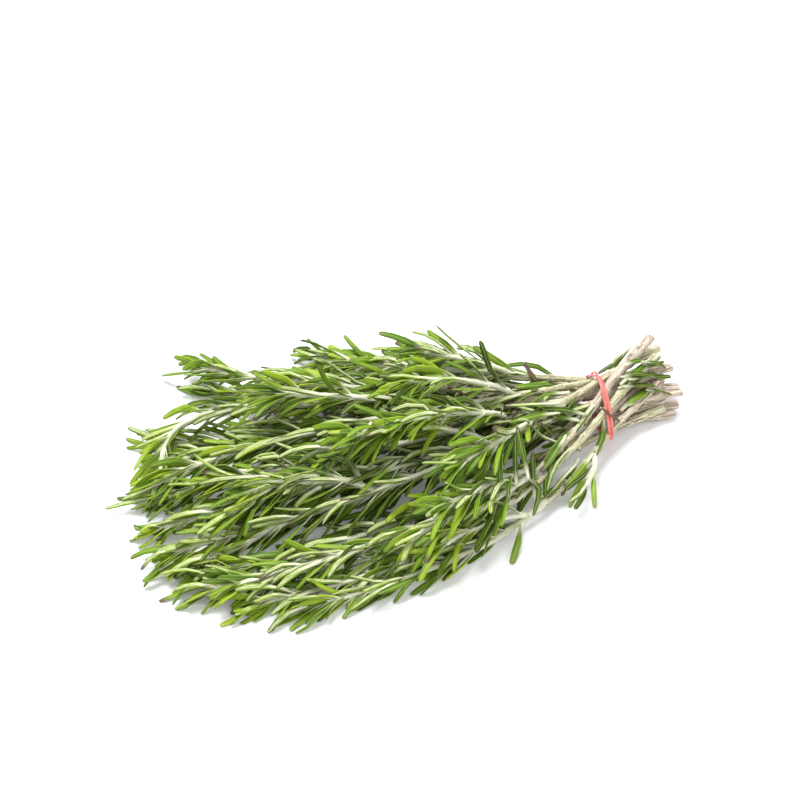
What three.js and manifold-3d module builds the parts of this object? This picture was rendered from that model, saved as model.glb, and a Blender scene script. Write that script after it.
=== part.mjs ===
// A bunch of cut rosemary, tied near its cut ends with a doubled rubber band and laid on a table.
// Millimetres, +Z up. The stems run along X: cut ends towards +X, growing tips towards -X.
// Each sprig is a bare woody stem that goes on into a leafy tip shoot, some with leafy side shoots.
// A shoot is one grown piece, its soft stem and leaves together, and is joined to nothing else.

import * as THREE from "three";
import { mergeVertices } from "three/addons/utils/BufferGeometryUtils.js";
import Module from "manifold-3d";

const wasm = await Module();
wasm.setup();

// ---- Driving dimensions -------------------------------------------------------------------------

const GAP = 0.3; // left between pieces that touch in the real bunch
const STEP = 2; // between the points of a stem's route

const TWIG_RADIUS = 1.1; // stem where the wood ends and the leafy shoot begins
const SHOOT_RADIUS = 0.5; // soft stem just under its growing tip
const CUT_SLOPE = 0.35; // of the cut ends, which are snipped a little obliquely
const RING_LENGTH = 10; // of the straight stretches that a stem's surface is made of
const WOOD_SIDES = 5;
const TWIG_SIDES = 4; // the soft stems are square

const LEAF_LENGTH = 22;
const LEAF_WIDTH = 2.3;
const LEAF_THICKNESS = 0.9;
const LEAF_SIDES = 3;
const LEAF_SIZES = [0.85, 1.12]; // smallest and largest, as shares of LEAF_LENGTH
const TIP_LEAF = 0.62; // the size of the last leaves under the growing tip
const LEAF_ANGLES = [29, 9]; // from the stem, at the bottom and at the top of a shoot
const ANGLE_SPREAD = 8;
const LEAF_CURLS = [-26, 18]; // degrees that a leaf turns along its length, inwards below 0
const NODE_SPACING = 11.5; // along the shoot, from one pair of leaves to the next
const TOP_NODE = 0.985; // where the last pair grows, as a share of the shoot's length
const ROLL_SHIFTS = [0, 20, -20, 40, -40, 60, -60]; // degrees, tried in turn where leaves are dense
const FLOOR_LEAF = 0.6; // height of the middle of a leaf that lies on the table

const SIDE_KNEE = [0.41, 0.24]; // where a side shoot bends, and where it ends, as shares of its
const SIDE_END = [0.92, 0.28]; // length: first along the parent stem and then away from it
const SIDE_HANG = 2.5; // lowest that a side shoot's stem may hang
const HEEL_GAP = 1.2; // from a stem's bark to the middle of a side shoot's heel

const STRAIGHTER = 0.8; // how much of the fan and lift is left on the cut side of the tie
const HOOK_FROM = 2 / 3; // where a hooked tip starts to turn, as a share of its reach
const STEM_ROOM = 0.35; // that a stem keeps round its own wood
const LEAFY_ROOM = 2; // more room where it is leafy
const LEAFY_BED = 3; // height of the leaves that a leafy stem lies on
const LEAFY_REACH = [40, 110]; // distances from the tie between which the sprigs turn leafy
const SIDE_REACH = [6, 24]; // the same along a side shoot
const SIDE_GIVE = [0, 8]; // distances along a side shoot between which it becomes free to move
const PUSH = 0.3; // share of an overlap that one round of easing takes away at each point
const WIDEST_SPREAD = 8; // points either side over which a push is first spread
const STEM_ROUNDS = 160; // of easing the stems apart
const SIDE_ROUNDS = 60; // of easing the side shoots out from between them

const BAND_WIDTH = 1.3;
const BAND_THICKNESS = 1;
const BAND_SPREAD = 0.8; // how far each of the two turns lies from the middle of the tie
const BAND_LEAN = 0.13; // how far it leans over: along X for each step across the bunch
const BAND_CROSSING = 0.38; // where on the loop they cross: the top of the tie, near side
const CROSSING_SHARPNESS = 9; // how suddenly they swap sides
const CROSSING_RISE = [0.82, 0.96]; // between which the upper turn climbs over: 1 is the crossing
const BAND_STEPS = 104; // round both turns
const BAND_ROOM = 2.6; // kept free round the middle of the doubled band
const LOOP_POINTS = 90;

// One row for each sprig, from the near side of the fan to the far side. tie is where it crosses the
// tie, as [y, z]: the higher ones there fan out to the near side and the lower ones to the far side,
// so that they cross without meeting. fan and lift are its heading there, sideways and upwards, in
// degrees. bend and droop are how far these have changed at the tip, and hook is a further sideways
// turn over the last third. reach is the length from tie to tip, wood the bare part of it, butt the
// length from tie to cut end, and girth the radius there. sides are its side shoots, each as
// [distance from tie, roll, length]: roll 0 is up, 90 the far side and 270 the near side.
const SPRIGS = [
  { tie: [-14, 10], fan: -41, bend: 49, lift: -4, droop: 2, hook: 0,
    reach: 156, wood: 50, butt: 30, girth: 1.8, sides: [[18, 282, 17], [60, 20, 40]] },
  { tie: [-8, 16.5], fan: -38.5, bend: 46, lift: -5, droop: 2, hook: 0,
    reach: 174, wood: 58, butt: 34, girth: 2, sides: [[66, 20, 42]] },
  { tie: [-2.5, 21], fan: -41.5, bend: 60, lift: -10, droop: -8, hook: -10,
    reach: 180, wood: 64, butt: 35, girth: 2.3, sides: [[54, 340, 38]] },
  { tie: [-8, 12], fan: -31, bend: 41, lift: 2, droop: 8, hook: 0,
    reach: 184, wood: 64, butt: 32, girth: 1.7, sides: [[50, 340, 44]] },
  { tie: [-11, 6], fan: -16, bend: 16, lift: 0, droop: 4, hook: 0,
    reach: 178, wood: 62, butt: 27, girth: 1.7, sides: [] },
  { tie: [3.5, 21], fan: -27, bend: 44, lift: 4, droop: 20, hook: -30,
    reach: 186, wood: 58, butt: 36, girth: 2, sides: [[40, 320, 44], [112, 60, 44]] },
  { tie: [-3, 16.5], fan: -18, bend: 40, lift: 9, droop: 26, hook: -16,
    reach: 194, wood: 68, butt: 35, girth: 1.9, sides: [[60, 30, 50], [124, 80, 46]] },
  { tie: [-3.5, 7.5], fan: -8, bend: 4, lift: 4, droop: 10, hook: 0,
    reach: 186, wood: 62, butt: 29, girth: 1.8, sides: [[46, 270, 50]] },
  { tie: [2.5, 16.5], fan: -14, bend: 36, lift: 10, droop: 26, hook: 0,
    reach: 192, wood: 56, butt: 38, girth: 1.9, sides: [[46, 350, 48], [116, 260, 46]] },
  { tie: [8.5, 16.5], fan: -6, bend: 22, lift: 11, droop: 26, hook: -30,
    reach: 184, wood: 52, butt: 37, girth: 1.7, sides: [[38, 10, 46]] },
  { tie: [-2.5, 12], fan: -2, bend: 28, lift: 12, droop: 28, hook: 0,
    reach: 186, wood: 64, butt: 35, girth: 1.8, sides: [[76, 300, 48]] },
  { tie: [3.5, 12], fan: 2, bend: 34, lift: 14, droop: 32, hook: -170,
    reach: 206, wood: 80, butt: 38, girth: 2.1, sides: [[92, 330, 50]] },
  { tie: [-2, 4], fan: 4, bend: 22, lift: 5, droop: 10, hook: 0,
    reach: 182, wood: 58, butt: 32, girth: 1.9, sides: [] },
  { tie: [2.5, 7.5], fan: 8, bend: 37, lift: 12, droop: 22, hook: 0,
    reach: 172, wood: 62, butt: 35, girth: 2.1, sides: [[82, 320, 46]] },
  { tie: [4, 4], fan: 12, bend: 22, lift: 6, droop: 12, hook: 0,
    reach: 160, wood: 46, butt: 31, girth: 1.7, sides: [[96, 250, 44]] },
  { tie: [9.5, 12], fan: 5, bend: 36, lift: 9, droop: 22, hook: 0,
    reach: 126, wood: 42, butt: 33, girth: 1.8, sides: [[50, 320, 44]] },
  { tie: [14, 12.5], fan: 12, bend: 22, lift: 13, droop: 22, hook: 0,
    reach: 106, wood: 34, butt: 35, girth: 1.9, sides: [[34, 340, 38]] },
  { tie: [8.5, 7.5], fan: 22.5, bend: 18, lift: 9, droop: 18, hook: 0,
    reach: 118, wood: 38, butt: 30, girth: 1.5, sides: [] },
  { tie: [13, 8], fan: 27, bend: 6, lift: 12, droop: 18, hook: 0,
    reach: 84, wood: 28, butt: 31, girth: 1.7, sides: [[24, 300, 24]] },
];

// ---- Small helpers ------------------------------------------------------------------------------

const rad = THREE.MathUtils.degToRad;
const lerp = THREE.MathUtils.lerp;
const smoothstep = THREE.MathUtils.smoothstep;

// The next of a fixed row of random numbers from 0 to 1, so that every bunch is the same.
let seed = 14;
function chance() {
  seed = (seed * 16807) % 2147483647;
  return seed / 2147483647;
}

const pick = ([least, most]) => lerp(least, most, chance());

// The direction of growth at a heading and pitch in degrees: 0, 0 is along -X.
function direction(heading, pitch) {
  const h = rad(heading);
  const p = rad(pitch);
  return new THREE.Vector3(-Math.cos(p) * Math.cos(h), Math.cos(p) * Math.sin(h), Math.sin(p));
}

// A geometry's closed surface as a manifold-3d solid.
function solidOf(geometry) {
  const bare = geometry.clone();
  bare.deleteAttribute("normal");
  bare.deleteAttribute("uv");
  const merged = mergeVertices(bare, 1e-4);
  return new wasm.Manifold(
    new wasm.Mesh({
      numProp: 3,
      vertProperties: merged.attributes.position.array,
      triVerts: new Uint32Array(merged.index.array),
    }),
  );
}

// A manifold-3d solid as a geometry.
function geometryOf(solid) {
  const { vertProperties, triVerts } = solid.getMesh();
  const geometry = new THREE.BufferGeometry();
  geometry.setAttribute("position", new THREE.BufferAttribute(vertProperties, 3));
  geometry.setIndex(new THREE.BufferAttribute(triVerts, 1));
  geometry.computeVertexNormals();
  return geometry;
}

// ---- The routes of the woody stems --------------------------------------------------------------

// The stem's radius at a distance from the tie.
function radiusAt({ butt, wood, reach, girth }, distance) {
  if (distance < wood) return lerp(girth, TWIG_RADIUS, (distance + butt) / (wood + butt));
  return lerp(TWIG_RADIUS, SHOOT_RADIUS, (distance - wood) / (reach - wood));
}

// Points every STEP along a sprig, each with its distance s from the tie, less than 0 on the butt.
function routeOf(sprig) {
  const at = new THREE.Vector3(0, ...sprig.tie);
  const growth = direction(STRAIGHTER * sprig.fan, STRAIGHTER * sprig.lift);
  const route = [];
  for (let s = -sprig.butt; s < 0; s += STEP) {
    route.push({ s, p: at.clone().addScaledVector(growth, s) });
  }
  for (let s = 0; s <= sprig.reach; s += STEP) {
    route.push({ s, p: at.clone() });
    const u = s / sprig.reach;
    const hooked = Math.max(0, u - HOOK_FROM) / (1 - HOOK_FROM);
    const turn = sprig.bend * u + sprig.hook * hooked ** 2;
    at.addScaledVector(direction(sprig.fan + turn, sprig.lift - sprig.droop * u), STEP);
  }
  for (const point of route) {
    const bushy = smoothstep(point.s, ...LEAFY_REACH);
    point.r = radiusAt(sprig, point.s);
    point.room = point.r + STEM_ROOM + LEAFY_ROOM * bushy;
    point.lowest = point.r + BAND_THICKNESS + GAP + LEAFY_BED * bushy;
    point.give = 1;
  }
  return route;
}

// Moves routes apart until no two stems touch. A push is spread along its stem, so that the stem
// stays smooth: widely in the first rounds and narrowly in the last. No give means no movement.
function easeApart(routes, rounds) {
  for (let round = 0; round < rounds; round++) {
    const width = Math.round(lerp(WIDEST_SPREAD, 1, round / rounds));
    const pushes = routes.map((route) => route.map(() => new THREE.Vector3()));
    routes.forEach((a, i) => {
      routes.slice(i + 1).forEach((b, k) => pushPair(a, b, pushes[i], pushes[i + 1 + k]));
    });
    routes.forEach((route, i) => {
      const spread = evened(evened(pushes[i], width), width);
      route.forEach((point, j) => {
        point.p.addScaledVector(spread[j], point.give);
        if (point.give > 0) point.p.z = Math.max(point.p.z, point.lowest);
      });
    });
  }
}

// Works out how each point of two routes has to move for them to be clear of each other.
function pushPair(a, b, pushA, pushB) {
  const between = new THREE.Vector3();
  a.forEach((m, i) => {
    b.forEach((n, j) => {
      if (m.give + n.give === 0) return;
      const short = m.room + n.room - between.subVectors(m.p, n.p).length();
      if (short <= 0) return;
      between.setLength(PUSH * short);
      pushA[i].add(between);
      pushB[j].sub(between);
    });
  });
}

// A row of pushes, each averaged with its neighbours up to some width away.
function evened(pushes, width) {
  return pushes.map((_, i) => {
    const near = pushes.slice(Math.max(i - width, 0), i + width + 1);
    const sum = near.reduce((all, push) => all.add(push), new THREE.Vector3());
    return sum.divideScalar(near.length);
  });
}

// A side shoot's route: out of the parent stem, then bending round to run along with it.
function sideRouteOf(parent, [distance, roll, length]) {
  const i = parent.findIndex(({ s }) => s >= distance);
  const along = parent[i + 1].p.clone().sub(parent[i - 1].p).normalize();
  const side = new THREE.Vector3(0, 0, 1).cross(along).normalize();
  const up = along.clone().cross(side);
  const out = up.multiplyScalar(Math.cos(rad(roll))).addScaledVector(side, -Math.sin(rad(roll)));
  const heel = parent[i].p.clone().addScaledVector(out, parent[i].r + HEEL_GAP);
  const place = ([ahead, away]) =>
    heel.clone().addScaledVector(along, length * ahead).addScaledVector(out, length * away);
  const line = new THREE.QuadraticBezierCurve3(heel, place(SIDE_KNEE), place(SIDE_END));
  const route = [];
  for (let s = 0; s <= length; s += STEP) {
    const p = line.getPoint(s / length);
    p.z = Math.max(p.z, SIDE_HANG);
    const r = lerp(0.9 * TWIG_RADIUS, SHOOT_RADIUS, s / length);
    const room = r + STEM_ROOM + 0.5 * LEAFY_ROOM * smoothstep(s, ...SIDE_REACH);
    route.push({ s, p, r, room, give: smoothstep(s, ...SIDE_GIVE), lowest: SIDE_HANG });
  }
  return route;
}

// ---- Tapered stems ------------------------------------------------------------------------------

// How many straight stretches a stem of some length is made of.
const ringsOf = (length) => Math.max(3, Math.round(length / RING_LENGTH));

// The part of a route from one distance to another, less a trim off its start, as a curve with the
// radius at each end.
function stretch(route, from, to, trim) {
  const points = route.filter(({ s }) => s >= from && s <= to);
  const places = points.map(({ p }) => p.clone());
  places[0].lerp(places[1], trim / STEP);
  return {
    curve: new THREE.CatmullRomCurve3(places),
    startRadius: points[0].r,
    endRadius: points[points.length - 1].r,
  };
}

// A closed tapered tube along a curve: a cylinder whose rings are moved onto it.
function taperedTube({ curve, startRadius, endRadius }, sides, rings, cutSlope) {
  const frames = curve.computeFrenetFrames(rings, false);
  const geometry = new THREE.CylinderGeometry(endRadius, startRadius, 1, sides, rings);
  const position = geometry.attributes.position;
  const vertex = new THREE.Vector3();
  for (let i = 0; i < position.count; i++) {
    vertex.fromBufferAttribute(position, i);
    const ring = Math.round((vertex.y + 0.5) * rings);
    const placed = curve
      .getPointAt(ring / rings)
      .addScaledVector(frames.normals[ring], vertex.x)
      .addScaledVector(frames.binormals[ring], -vertex.z);
    if (ring === 0) placed.addScaledVector(frames.tangents[0], cutSlope * vertex.x);
    position.setXYZ(i, placed.x, placed.y, placed.z);
  }
  return geometry;
}

// ---- Leaves -------------------------------------------------------------------------------------

// A leaf's own line: an arc from the stem's middle that leaves it at an angle and curls.
function leafArc({ base, along, out, angle, curl, length }) {
  const ahead = along.clone().multiplyScalar(Math.cos(angle)).addScaledVector(out, Math.sin(angle));
  const aside = out.clone().multiplyScalar(Math.cos(angle)).addScaledVector(along, -Math.sin(angle));
  return (t) => {
    const turn = curl * t;
    const forward = Math.abs(curl) < 1e-3 ? t : Math.sin(turn) / curl;
    const sideways = Math.abs(curl) < 1e-3 ? 0 : (1 - Math.cos(turn)) / curl;
    const point = base.clone();
    point.addScaledVector(ahead, length * forward).addScaledVector(aside, length * sideways);
    point.z = Math.max(point.z, FLOOR_LEAF);
    return point;
  };
}

// A slim closed leaf along its arc: a coarse sphere drawn out. It is flat above, on the side that
// faces the growing tip, and keeled underneath by its midrib.
function leafGeometry(leaf) {
  const arc = leafArc(leaf);
  const across = new THREE.Vector3().crossVectors(leaf.along, leaf.out).normalize();
  const geometry = new THREE.SphereGeometry(0.5, LEAF_SIDES, LEAF_SIDES, Math.PI / 2);
  const position = geometry.attributes.position;
  const vertex = new THREE.Vector3();
  for (let i = 0; i < position.count; i++) {
    vertex.fromBufferAttribute(position, i);
    const t = vertex.y + 0.5;
    const ahead = arc(Math.min(t + 0.1, 1)).sub(arc(Math.max(t - 0.1, 0))).normalize();
    const under = new THREE.Vector3().crossVectors(across, ahead);
    const placed = arc(t)
      .addScaledVector(across, vertex.x * LEAF_WIDTH)
      .addScaledVector(under, vertex.z * LEAF_THICKNESS);
    position.setXYZ(i, placed.x, placed.y, placed.z);
  }
  return geometry;
}

// Every place that is taken, as balls: {p, r, owner}, sorted into cubes for a quick look-up.
const CUBE = 6;
const taken = new Map();

function cubeOf(p, dx = 0, dy = 0, dz = 0) {
  const cell = (v, d) => Math.floor(v / CUBE) + d;
  return `${cell(p.x, dx)},${cell(p.y, dy)},${cell(p.z, dz)}`;
}

function take(p, r, owner) {
  const key = cubeOf(p);
  if (!taken.has(key)) taken.set(key, []);
  taken.get(key).push({ p, r, owner });
}

// True if a ball is clear of every ball that belongs to another piece.
function isClear(p, r, owner) {
  const steps = [-1, 0, 1];
  return steps.every((dx) =>
    steps.every((dy) =>
      steps.every((dz) =>
        (taken.get(cubeOf(p, dx, dy, dz)) || []).every(
          (other) => other.owner === owner || other.p.distanceTo(p) > r + other.r + GAP,
        ),
      ),
    ),
  );
}

const BALLS_PER_LEAF = 10;

function leafBalls(leaf) {
  const arc = leafArc(leaf);
  return Array.from({ length: BALLS_PER_LEAF }, (_, i) => arc((i + 1) / BALLS_PER_LEAF));
}

// Where the middle of a tube made of straight stretches is, at a share of its length.
function tubeMiddle(curve, rings, share) {
  const ring = Math.min(Math.floor(share * rings), rings - 1);
  return curve.getPointAt(ring / rings).lerp(curve.getPointAt((ring + 1) / rings), share * rings - ring);
}

// The leaves of a shoot, in pairs that cross the pair before and lean in towards the tip. One that
// would run into another piece is rolled round the stem, and left out if no place is free.
function leavesOf({ curve, owner }) {
  const length = curve.getLength();
  const nodes = Math.round(length / NODE_SPACING);
  const frames = curve.computeFrenetFrames(nodes, false);
  const start = 360 * chance();
  const leaves = [];
  for (let k = 1; k <= nodes; k++) {
    for (const side of [0, 180]) {
      const share = k / nodes;
      const leaf = {
        base: tubeMiddle(curve, ringsOf(length), TOP_NODE * share),
        along: frames.tangents[k],
        angle: rad(lerp(...LEAF_ANGLES, share ** 1.5) + ANGLE_SPREAD * chance()),
        curl: rad(pick(LEAF_CURLS)),
        length: LEAF_LENGTH * pick(LEAF_SIZES) * lerp(1, TIP_LEAF, share ** 4),
      };
      for (const shift of ROLL_SHIFTS) {
        const roll = rad(start + side + 90 * k + shift);
        leaf.out = frames.normals[k]
          .clone()
          .multiplyScalar(Math.cos(roll))
          .addScaledVector(frames.binormals[k], Math.sin(roll));
        const balls = leafBalls(leaf);
        if (!balls.every((p) => isClear(p, LEAF_WIDTH / 2, owner))) continue;
        balls.forEach((p) => take(p, LEAF_WIDTH / 2, owner));
        leaves.push(leaf);
        break;
      }
    }
  }
  return leaves;
}

// ---- Shoots -------------------------------------------------------------------------------------

// A shoot as one solid: its square soft stem joined with its leaves.
function shootGeometry(shoot) {
  const stem = taperedTube(shoot, TWIG_SIDES, ringsOf(shoot.curve.getLength()), 0);
  const leaves = leavesOf(shoot).map(leafGeometry);
  return geometryOf(leaves.reduce((all, leaf) => all.add(solidOf(leaf)), solidOf(stem)));
}

// ---- The rubber band ----------------------------------------------------------------------------

// The loop of a stretched band round the stems, as a curve through their hull seen along X.
function tieLoop(routes) {
  const beside = ({ p }) => Math.abs(p.x - BAND_LEAN * p.y);
  const stems = routes.flat().filter((point) => beside(point) < BAND_WIDTH + BAND_SPREAD);
  const points = Array.from({ length: LOOP_POINTS }, (_, i) => {
    const a = (2 * Math.PI * i) / LOOP_POINTS;
    const reach = ({ p, r }) => p.y * Math.cos(a) + p.z * Math.sin(a) + r;
    const outer = stems.reduce((best, stem) => (reach(stem) > reach(best) ? stem : best));
    const r = outer.r + GAP + BAND_THICKNESS / 2;
    const y = outer.p.y + r * Math.cos(a);
    return new THREE.Vector3(BAND_LEAN * y, y, outer.p.z + r * Math.sin(a));
  });
  return new THREE.CatmullRomCurve3(points, true);
}

// The band wound twice round the loop as one endless strip. Its two turns lie side by side, and at
// one place they swap sides, the first turn rising over the second.
function bandGeometry(loop) {
  const geometry = new THREE.TorusGeometry(2, 1, 4, BAND_STEPS);
  const { position, uv } = geometry.attributes;
  for (let i = 0; i < position.count; i++) {
    const half = 2 * Math.PI * uv.getX(i);
    const corner = 2 * Math.PI * (uv.getY(i) + 0.125);
    const share = (BAND_CROSSING + 0.5 + half / Math.PI) % 1;
    const middle = loop.getPointAt(share);
    const along = loop.getTangentAt(share);
    const outward = new THREE.Vector3(0, along.z, -along.y);
    const aside = BAND_SPREAD * Math.tanh(CROSSING_SHARPNESS * Math.cos(half));
    const over = (BAND_THICKNESS + GAP) * smoothstep(Math.sin(half), ...CROSSING_RISE);
    const x = middle.x + aside - Math.SQRT1_2 * BAND_WIDTH * Math.cos(corner);
    const rise = over + Math.SQRT1_2 * BAND_THICKNESS * Math.sin(corner);
    position.setXYZ(i, x, middle.y + outward.y * rise, middle.z + outward.z * rise);
  }
  return geometry;
}

// ---- Assembly -----------------------------------------------------------------------------------

const bark = new THREE.MeshStandardMaterial({ color: "#b9a58c", roughness: 0.85, metalness: 0 });
const foliage = new THREE.MeshStandardMaterial({ color: "#6d8f3c", roughness: 0.6, metalness: 0 });
const rubber = new THREE.MeshStandardMaterial({ color: "#ea6a66", roughness: 0.5, metalness: 0 });

const bunch = new THREE.Group();

function addPiece(name, geometry, material) {
  const mesh = new THREE.Mesh(geometry, material.clone());
  mesh.name = name;
  bunch.add(mesh);
}

// The woody stems settle first, then the band goes round them, then the side shoots settle.
const routes = SPRIGS.map(routeOf);
easeApart(routes, STEM_ROUNDS);
for (const point of routes.flat()) point.give = 0;

const loop = tieLoop(routes);
const around = loop.getPoints(LOOP_POINTS).map((p) => ({ p, room: BAND_ROOM, give: 0 }));
addPiece("rubber_band", bandGeometry(loop), rubber);
for (const { p } of around) take(p, BAND_ROOM, "rubber_band");

const sideRoutes = SPRIGS.map(({ sides }, i) => sides.map((side) => sideRouteOf(routes[i], side)));
easeApart([around, ...routes, ...sideRoutes.flat()], SIDE_ROUNDS);

const shoots = [];
SPRIGS.forEach(({ butt, wood, reach }, i) => {
  const number = String(i + 1).padStart(2, "0");
  const stem = `stem_${number}`;
  const woodPart = stretch(routes[i], -butt, wood, 0);
  addPiece(stem, taperedTube(woodPart, WOOD_SIDES, ringsOf(butt + wood), CUT_SLOPE), bark);
  const tip = { ...stretch(routes[i], wood, reach, GAP), owner: `shoot_${number}_tip` };
  for (const { s, p, r } of routes[i]) take(p, r, s <= wood ? stem : tip.owner);
  const sides = sideRoutes[i].map((route, k) => {
    const owner = `shoot_${number}_${"ab"[k]}`;
    for (const { p, r } of route) take(p, r, owner);
    return { ...stretch(route, 0, reach, 0), owner };
  });
  shoots.push(tip, ...sides);
});
for (const shoot of shoots) addPiece(shoot.owner, shootGeometry(shoot), foliage);

// The origin is under the middle of the bunch, on the table.
const box = new THREE.Box3().setFromObject(bunch, true);
const centre = box.getCenter(new THREE.Vector3());
bunch.position.set(-centre.x, -centre.y, -box.min.z);

export default bunch;
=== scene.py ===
# %% [markdown]
# # A tied bunch of cut rosemary
# Nineteen sprigs lie on a table, held near their cut ends by a doubled rubber band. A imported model
# gives the place and size of every stem and shoot as a plain solid. This lesson grows the real
# surface along those solids: bark, soft felted twigs, two thousand needle leaves and the band.
# Everything is in metres with +Z up, in the same frame as the solids, so nothing is fitted later.

# %% Load the frame
import math
import random

import bmesh
import bpy
import numpy as np
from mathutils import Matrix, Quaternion, Vector, noise
from mathutils.bvhtree import BVHTree


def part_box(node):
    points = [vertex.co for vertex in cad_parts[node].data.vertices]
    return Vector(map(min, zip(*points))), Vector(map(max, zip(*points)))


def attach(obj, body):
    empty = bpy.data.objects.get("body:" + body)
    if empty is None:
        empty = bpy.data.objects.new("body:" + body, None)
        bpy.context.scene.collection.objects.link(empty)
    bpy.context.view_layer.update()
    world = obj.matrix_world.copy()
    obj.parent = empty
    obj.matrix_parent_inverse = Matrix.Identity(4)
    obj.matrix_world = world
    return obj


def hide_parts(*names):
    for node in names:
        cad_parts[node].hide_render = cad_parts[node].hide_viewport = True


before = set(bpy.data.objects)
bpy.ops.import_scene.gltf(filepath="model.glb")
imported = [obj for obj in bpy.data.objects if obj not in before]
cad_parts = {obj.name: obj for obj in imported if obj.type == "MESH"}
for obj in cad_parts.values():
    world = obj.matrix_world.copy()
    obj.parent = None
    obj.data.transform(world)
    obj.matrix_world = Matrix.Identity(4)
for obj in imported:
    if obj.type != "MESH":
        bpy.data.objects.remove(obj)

MM = 0.001
UP = np.array([0.0, 0.0, 1.0])
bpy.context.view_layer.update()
stem_names = sorted(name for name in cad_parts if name.startswith("stem"))
shoot_names = sorted(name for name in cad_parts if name.startswith("shoot"))
print(len(stem_names), "woody stems and", len(shoot_names), "leafy shoots")

# %% [markdown]
# ## Where the plant grows
# A leaf or a flake of bark only looks grown if it follows its stem, so the first thing needed is the
# middle line of every stem. The solids don't carry one. It could be traced by hand, but there are
# nearly sixty of them, so a small blind walker does it: it starts inside the wider end of a tube,
# takes half a millimetre steps, feels for the walls all round with rays, and moves to the middle.

# %% Find the end of a tube
FLAT = 0.9999  # how alike the directions of two faces are when they lie in one plane
ROUND = 1.1  # how unlike the spokes of an end may be, because the cut ends are oblique
JOIN = 0.001 * MM  # corners closer than this are one


def joined(node):
    """A solid's surface with its loose triangles joined at their corners."""
    surface = bmesh.new()
    surface.from_mesh(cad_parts[node].data)
    bmesh.ops.remove_doubles(surface, verts=surface.verts, dist=JOIN)
    return surface


def wider_end(surface):
    """The middle point of a tube's wider end: flat all round, with spokes of one length."""
    ends = []
    for point in surface.verts:
        spokes = [edge.calc_length() for edge in point.link_edges]
        normal = point.link_faces[0].normal
        flat = all(face.normal.dot(normal) > FLAT for face in point.link_faces)
        if flat and max(spokes) < ROUND * min(spokes):
            ends.append((max(spokes), point.co.copy(), -normal))
    return max(ends, key=lambda end: end[0])


# %% Walk along the inside of a tube
STRIDE = 0.5 * MM
RAYS = 20  # a number that both five and four divide, so that neither kind of tube pulls it aside
SIGHT = 40 * MM  # how far ahead the walker looks for the last leaf tips
LOOK_BACK = 7  # steps, over which the walker takes the way that it has come
STEADY = 2  # how much more its old heading counts than that


def middle(tree, point, heading, widest):
    """The point moved to the middle of the tube round it, and the tube's radius there."""
    across = heading.orthogonal().normalized()
    spokes = [Quaternion(heading, math.tau * i / RAYS) @ across for i in range(RAYS)]
    walls = []
    for spoke in spokes:
        place, normal, _, distance = tree.ray_cast(point, spoke, 2 * widest)
        walls.append(distance if place and normal.dot(spoke) > 0 else None)
    half = RAYS // 2
    pairs = [(spoke, a, b) for spoke, a, b in zip(spokes, walls[:half], walls[half:]) if a and b]
    pairs = [(spoke, a, b) for spoke, a, b in pairs if a + b < 2 * widest]
    if not pairs:
        return None
    shift = sum((spoke * (a - b) for spoke, a, b in pairs), Vector()) / len(pairs)
    return point + shift, max(a + b for _, a, b in pairs) / 2


def middle_line(node, stop):
    """Points and radii up the middle of a stem or shoot, to where only stop is left ahead."""
    surface = joined(node)
    tree = BVHTree.FromBMesh(surface)
    corners = np.array([v.co for v in surface.verts])
    radius, point, heading = wider_end(surface)
    line = [(point.copy(), radius)]
    widest = ROUND * radius
    while True:
        ahead = (corners - point) @ np.array(heading)
        near = np.linalg.norm(corners - point, axis=1) < SIGHT
        if ahead[near].max() < stop:
            break
        found = middle(tree, point + heading * STRIDE, heading, widest)
        point, radius = found or (point + heading * STRIDE, radius)
        line.append((point, radius))
        back = line[max(0, len(line) - LOOK_BACK)][0]
        heading = (heading * STEADY + (point - back).normalized()).normalized()
    surface.free()
    return np.array([p for p, _ in line]), np.array([r for _, r in line])


# %% [markdown]
# The walker's path has the corners of the solid that it walked in, so it is averaged until it bends
# like a twig. Anything laid round a line also needs a sideways direction that doesn't spin, and that
# comes from carrying one direction along the line and straightening it up a little at every point.

# %% Keep a line with its own steady frame
SOFTEN = 8  # neighbours on either side, each a stride apart, that a point is averaged with


def evened(values, width):
    """A row of values averaged with their neighbours. Its ends stay where they are."""
    before = 2 * values[0] - values[width:0:-1]
    after = 2 * values[-1] - values[-2 : -width - 2 : -1]
    sums = np.cumsum(np.concatenate([values[:1] * 0, before, values, after]), axis=0)
    return (sums[2 * width + 1 :] - sums[: -2 * width - 1]) / (2 * width + 1)


def unit(vectors):
    """Vectors, or rows of them, made one long."""
    return vectors / np.linalg.norm(vectors, axis=-1, keepdims=True)


class Line:
    """A smooth line with a place, a direction and two sides at each distance along it."""

    def __init__(self, points, radii):
        points = evened(evened(points, SOFTEN), SOFTEN)
        steps = np.linalg.norm(np.diff(points, axis=0), axis=1)
        self.marks = np.concatenate([[0], np.cumsum(steps)])
        self.length = self.marks[-1]
        ahead = unit(np.gradient(points, axis=0))
        sides = [unit(np.cross(ahead[0], UP))]
        for direction in ahead[1:]:
            sides.append(unit(sides[-1] - direction * (sides[-1] @ direction)))
        side = np.array(sides)
        self.rows = np.hstack([points, ahead, side, np.cross(ahead, side)])
        self.taper = np.polyfit(self.marks, radii, 1)

    def at(self, distance):
        """Place, direction and two sides, for one distance or a row of them."""
        row = np.array([np.interp(distance, self.marks, column) for column in self.rows.T]).T
        place, ahead, side, other = np.split(row, 4, axis=-1)
        beyond = distance - np.clip(distance, 0, self.length)
        return place + ahead * np.expand_dims(beyond, -1), ahead, side, other

    def radius(self, distance):
        """The radius of the solid at a distance, from a straight taper."""
        return np.polyval(self.taper, np.clip(distance, 0, self.length))


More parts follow.
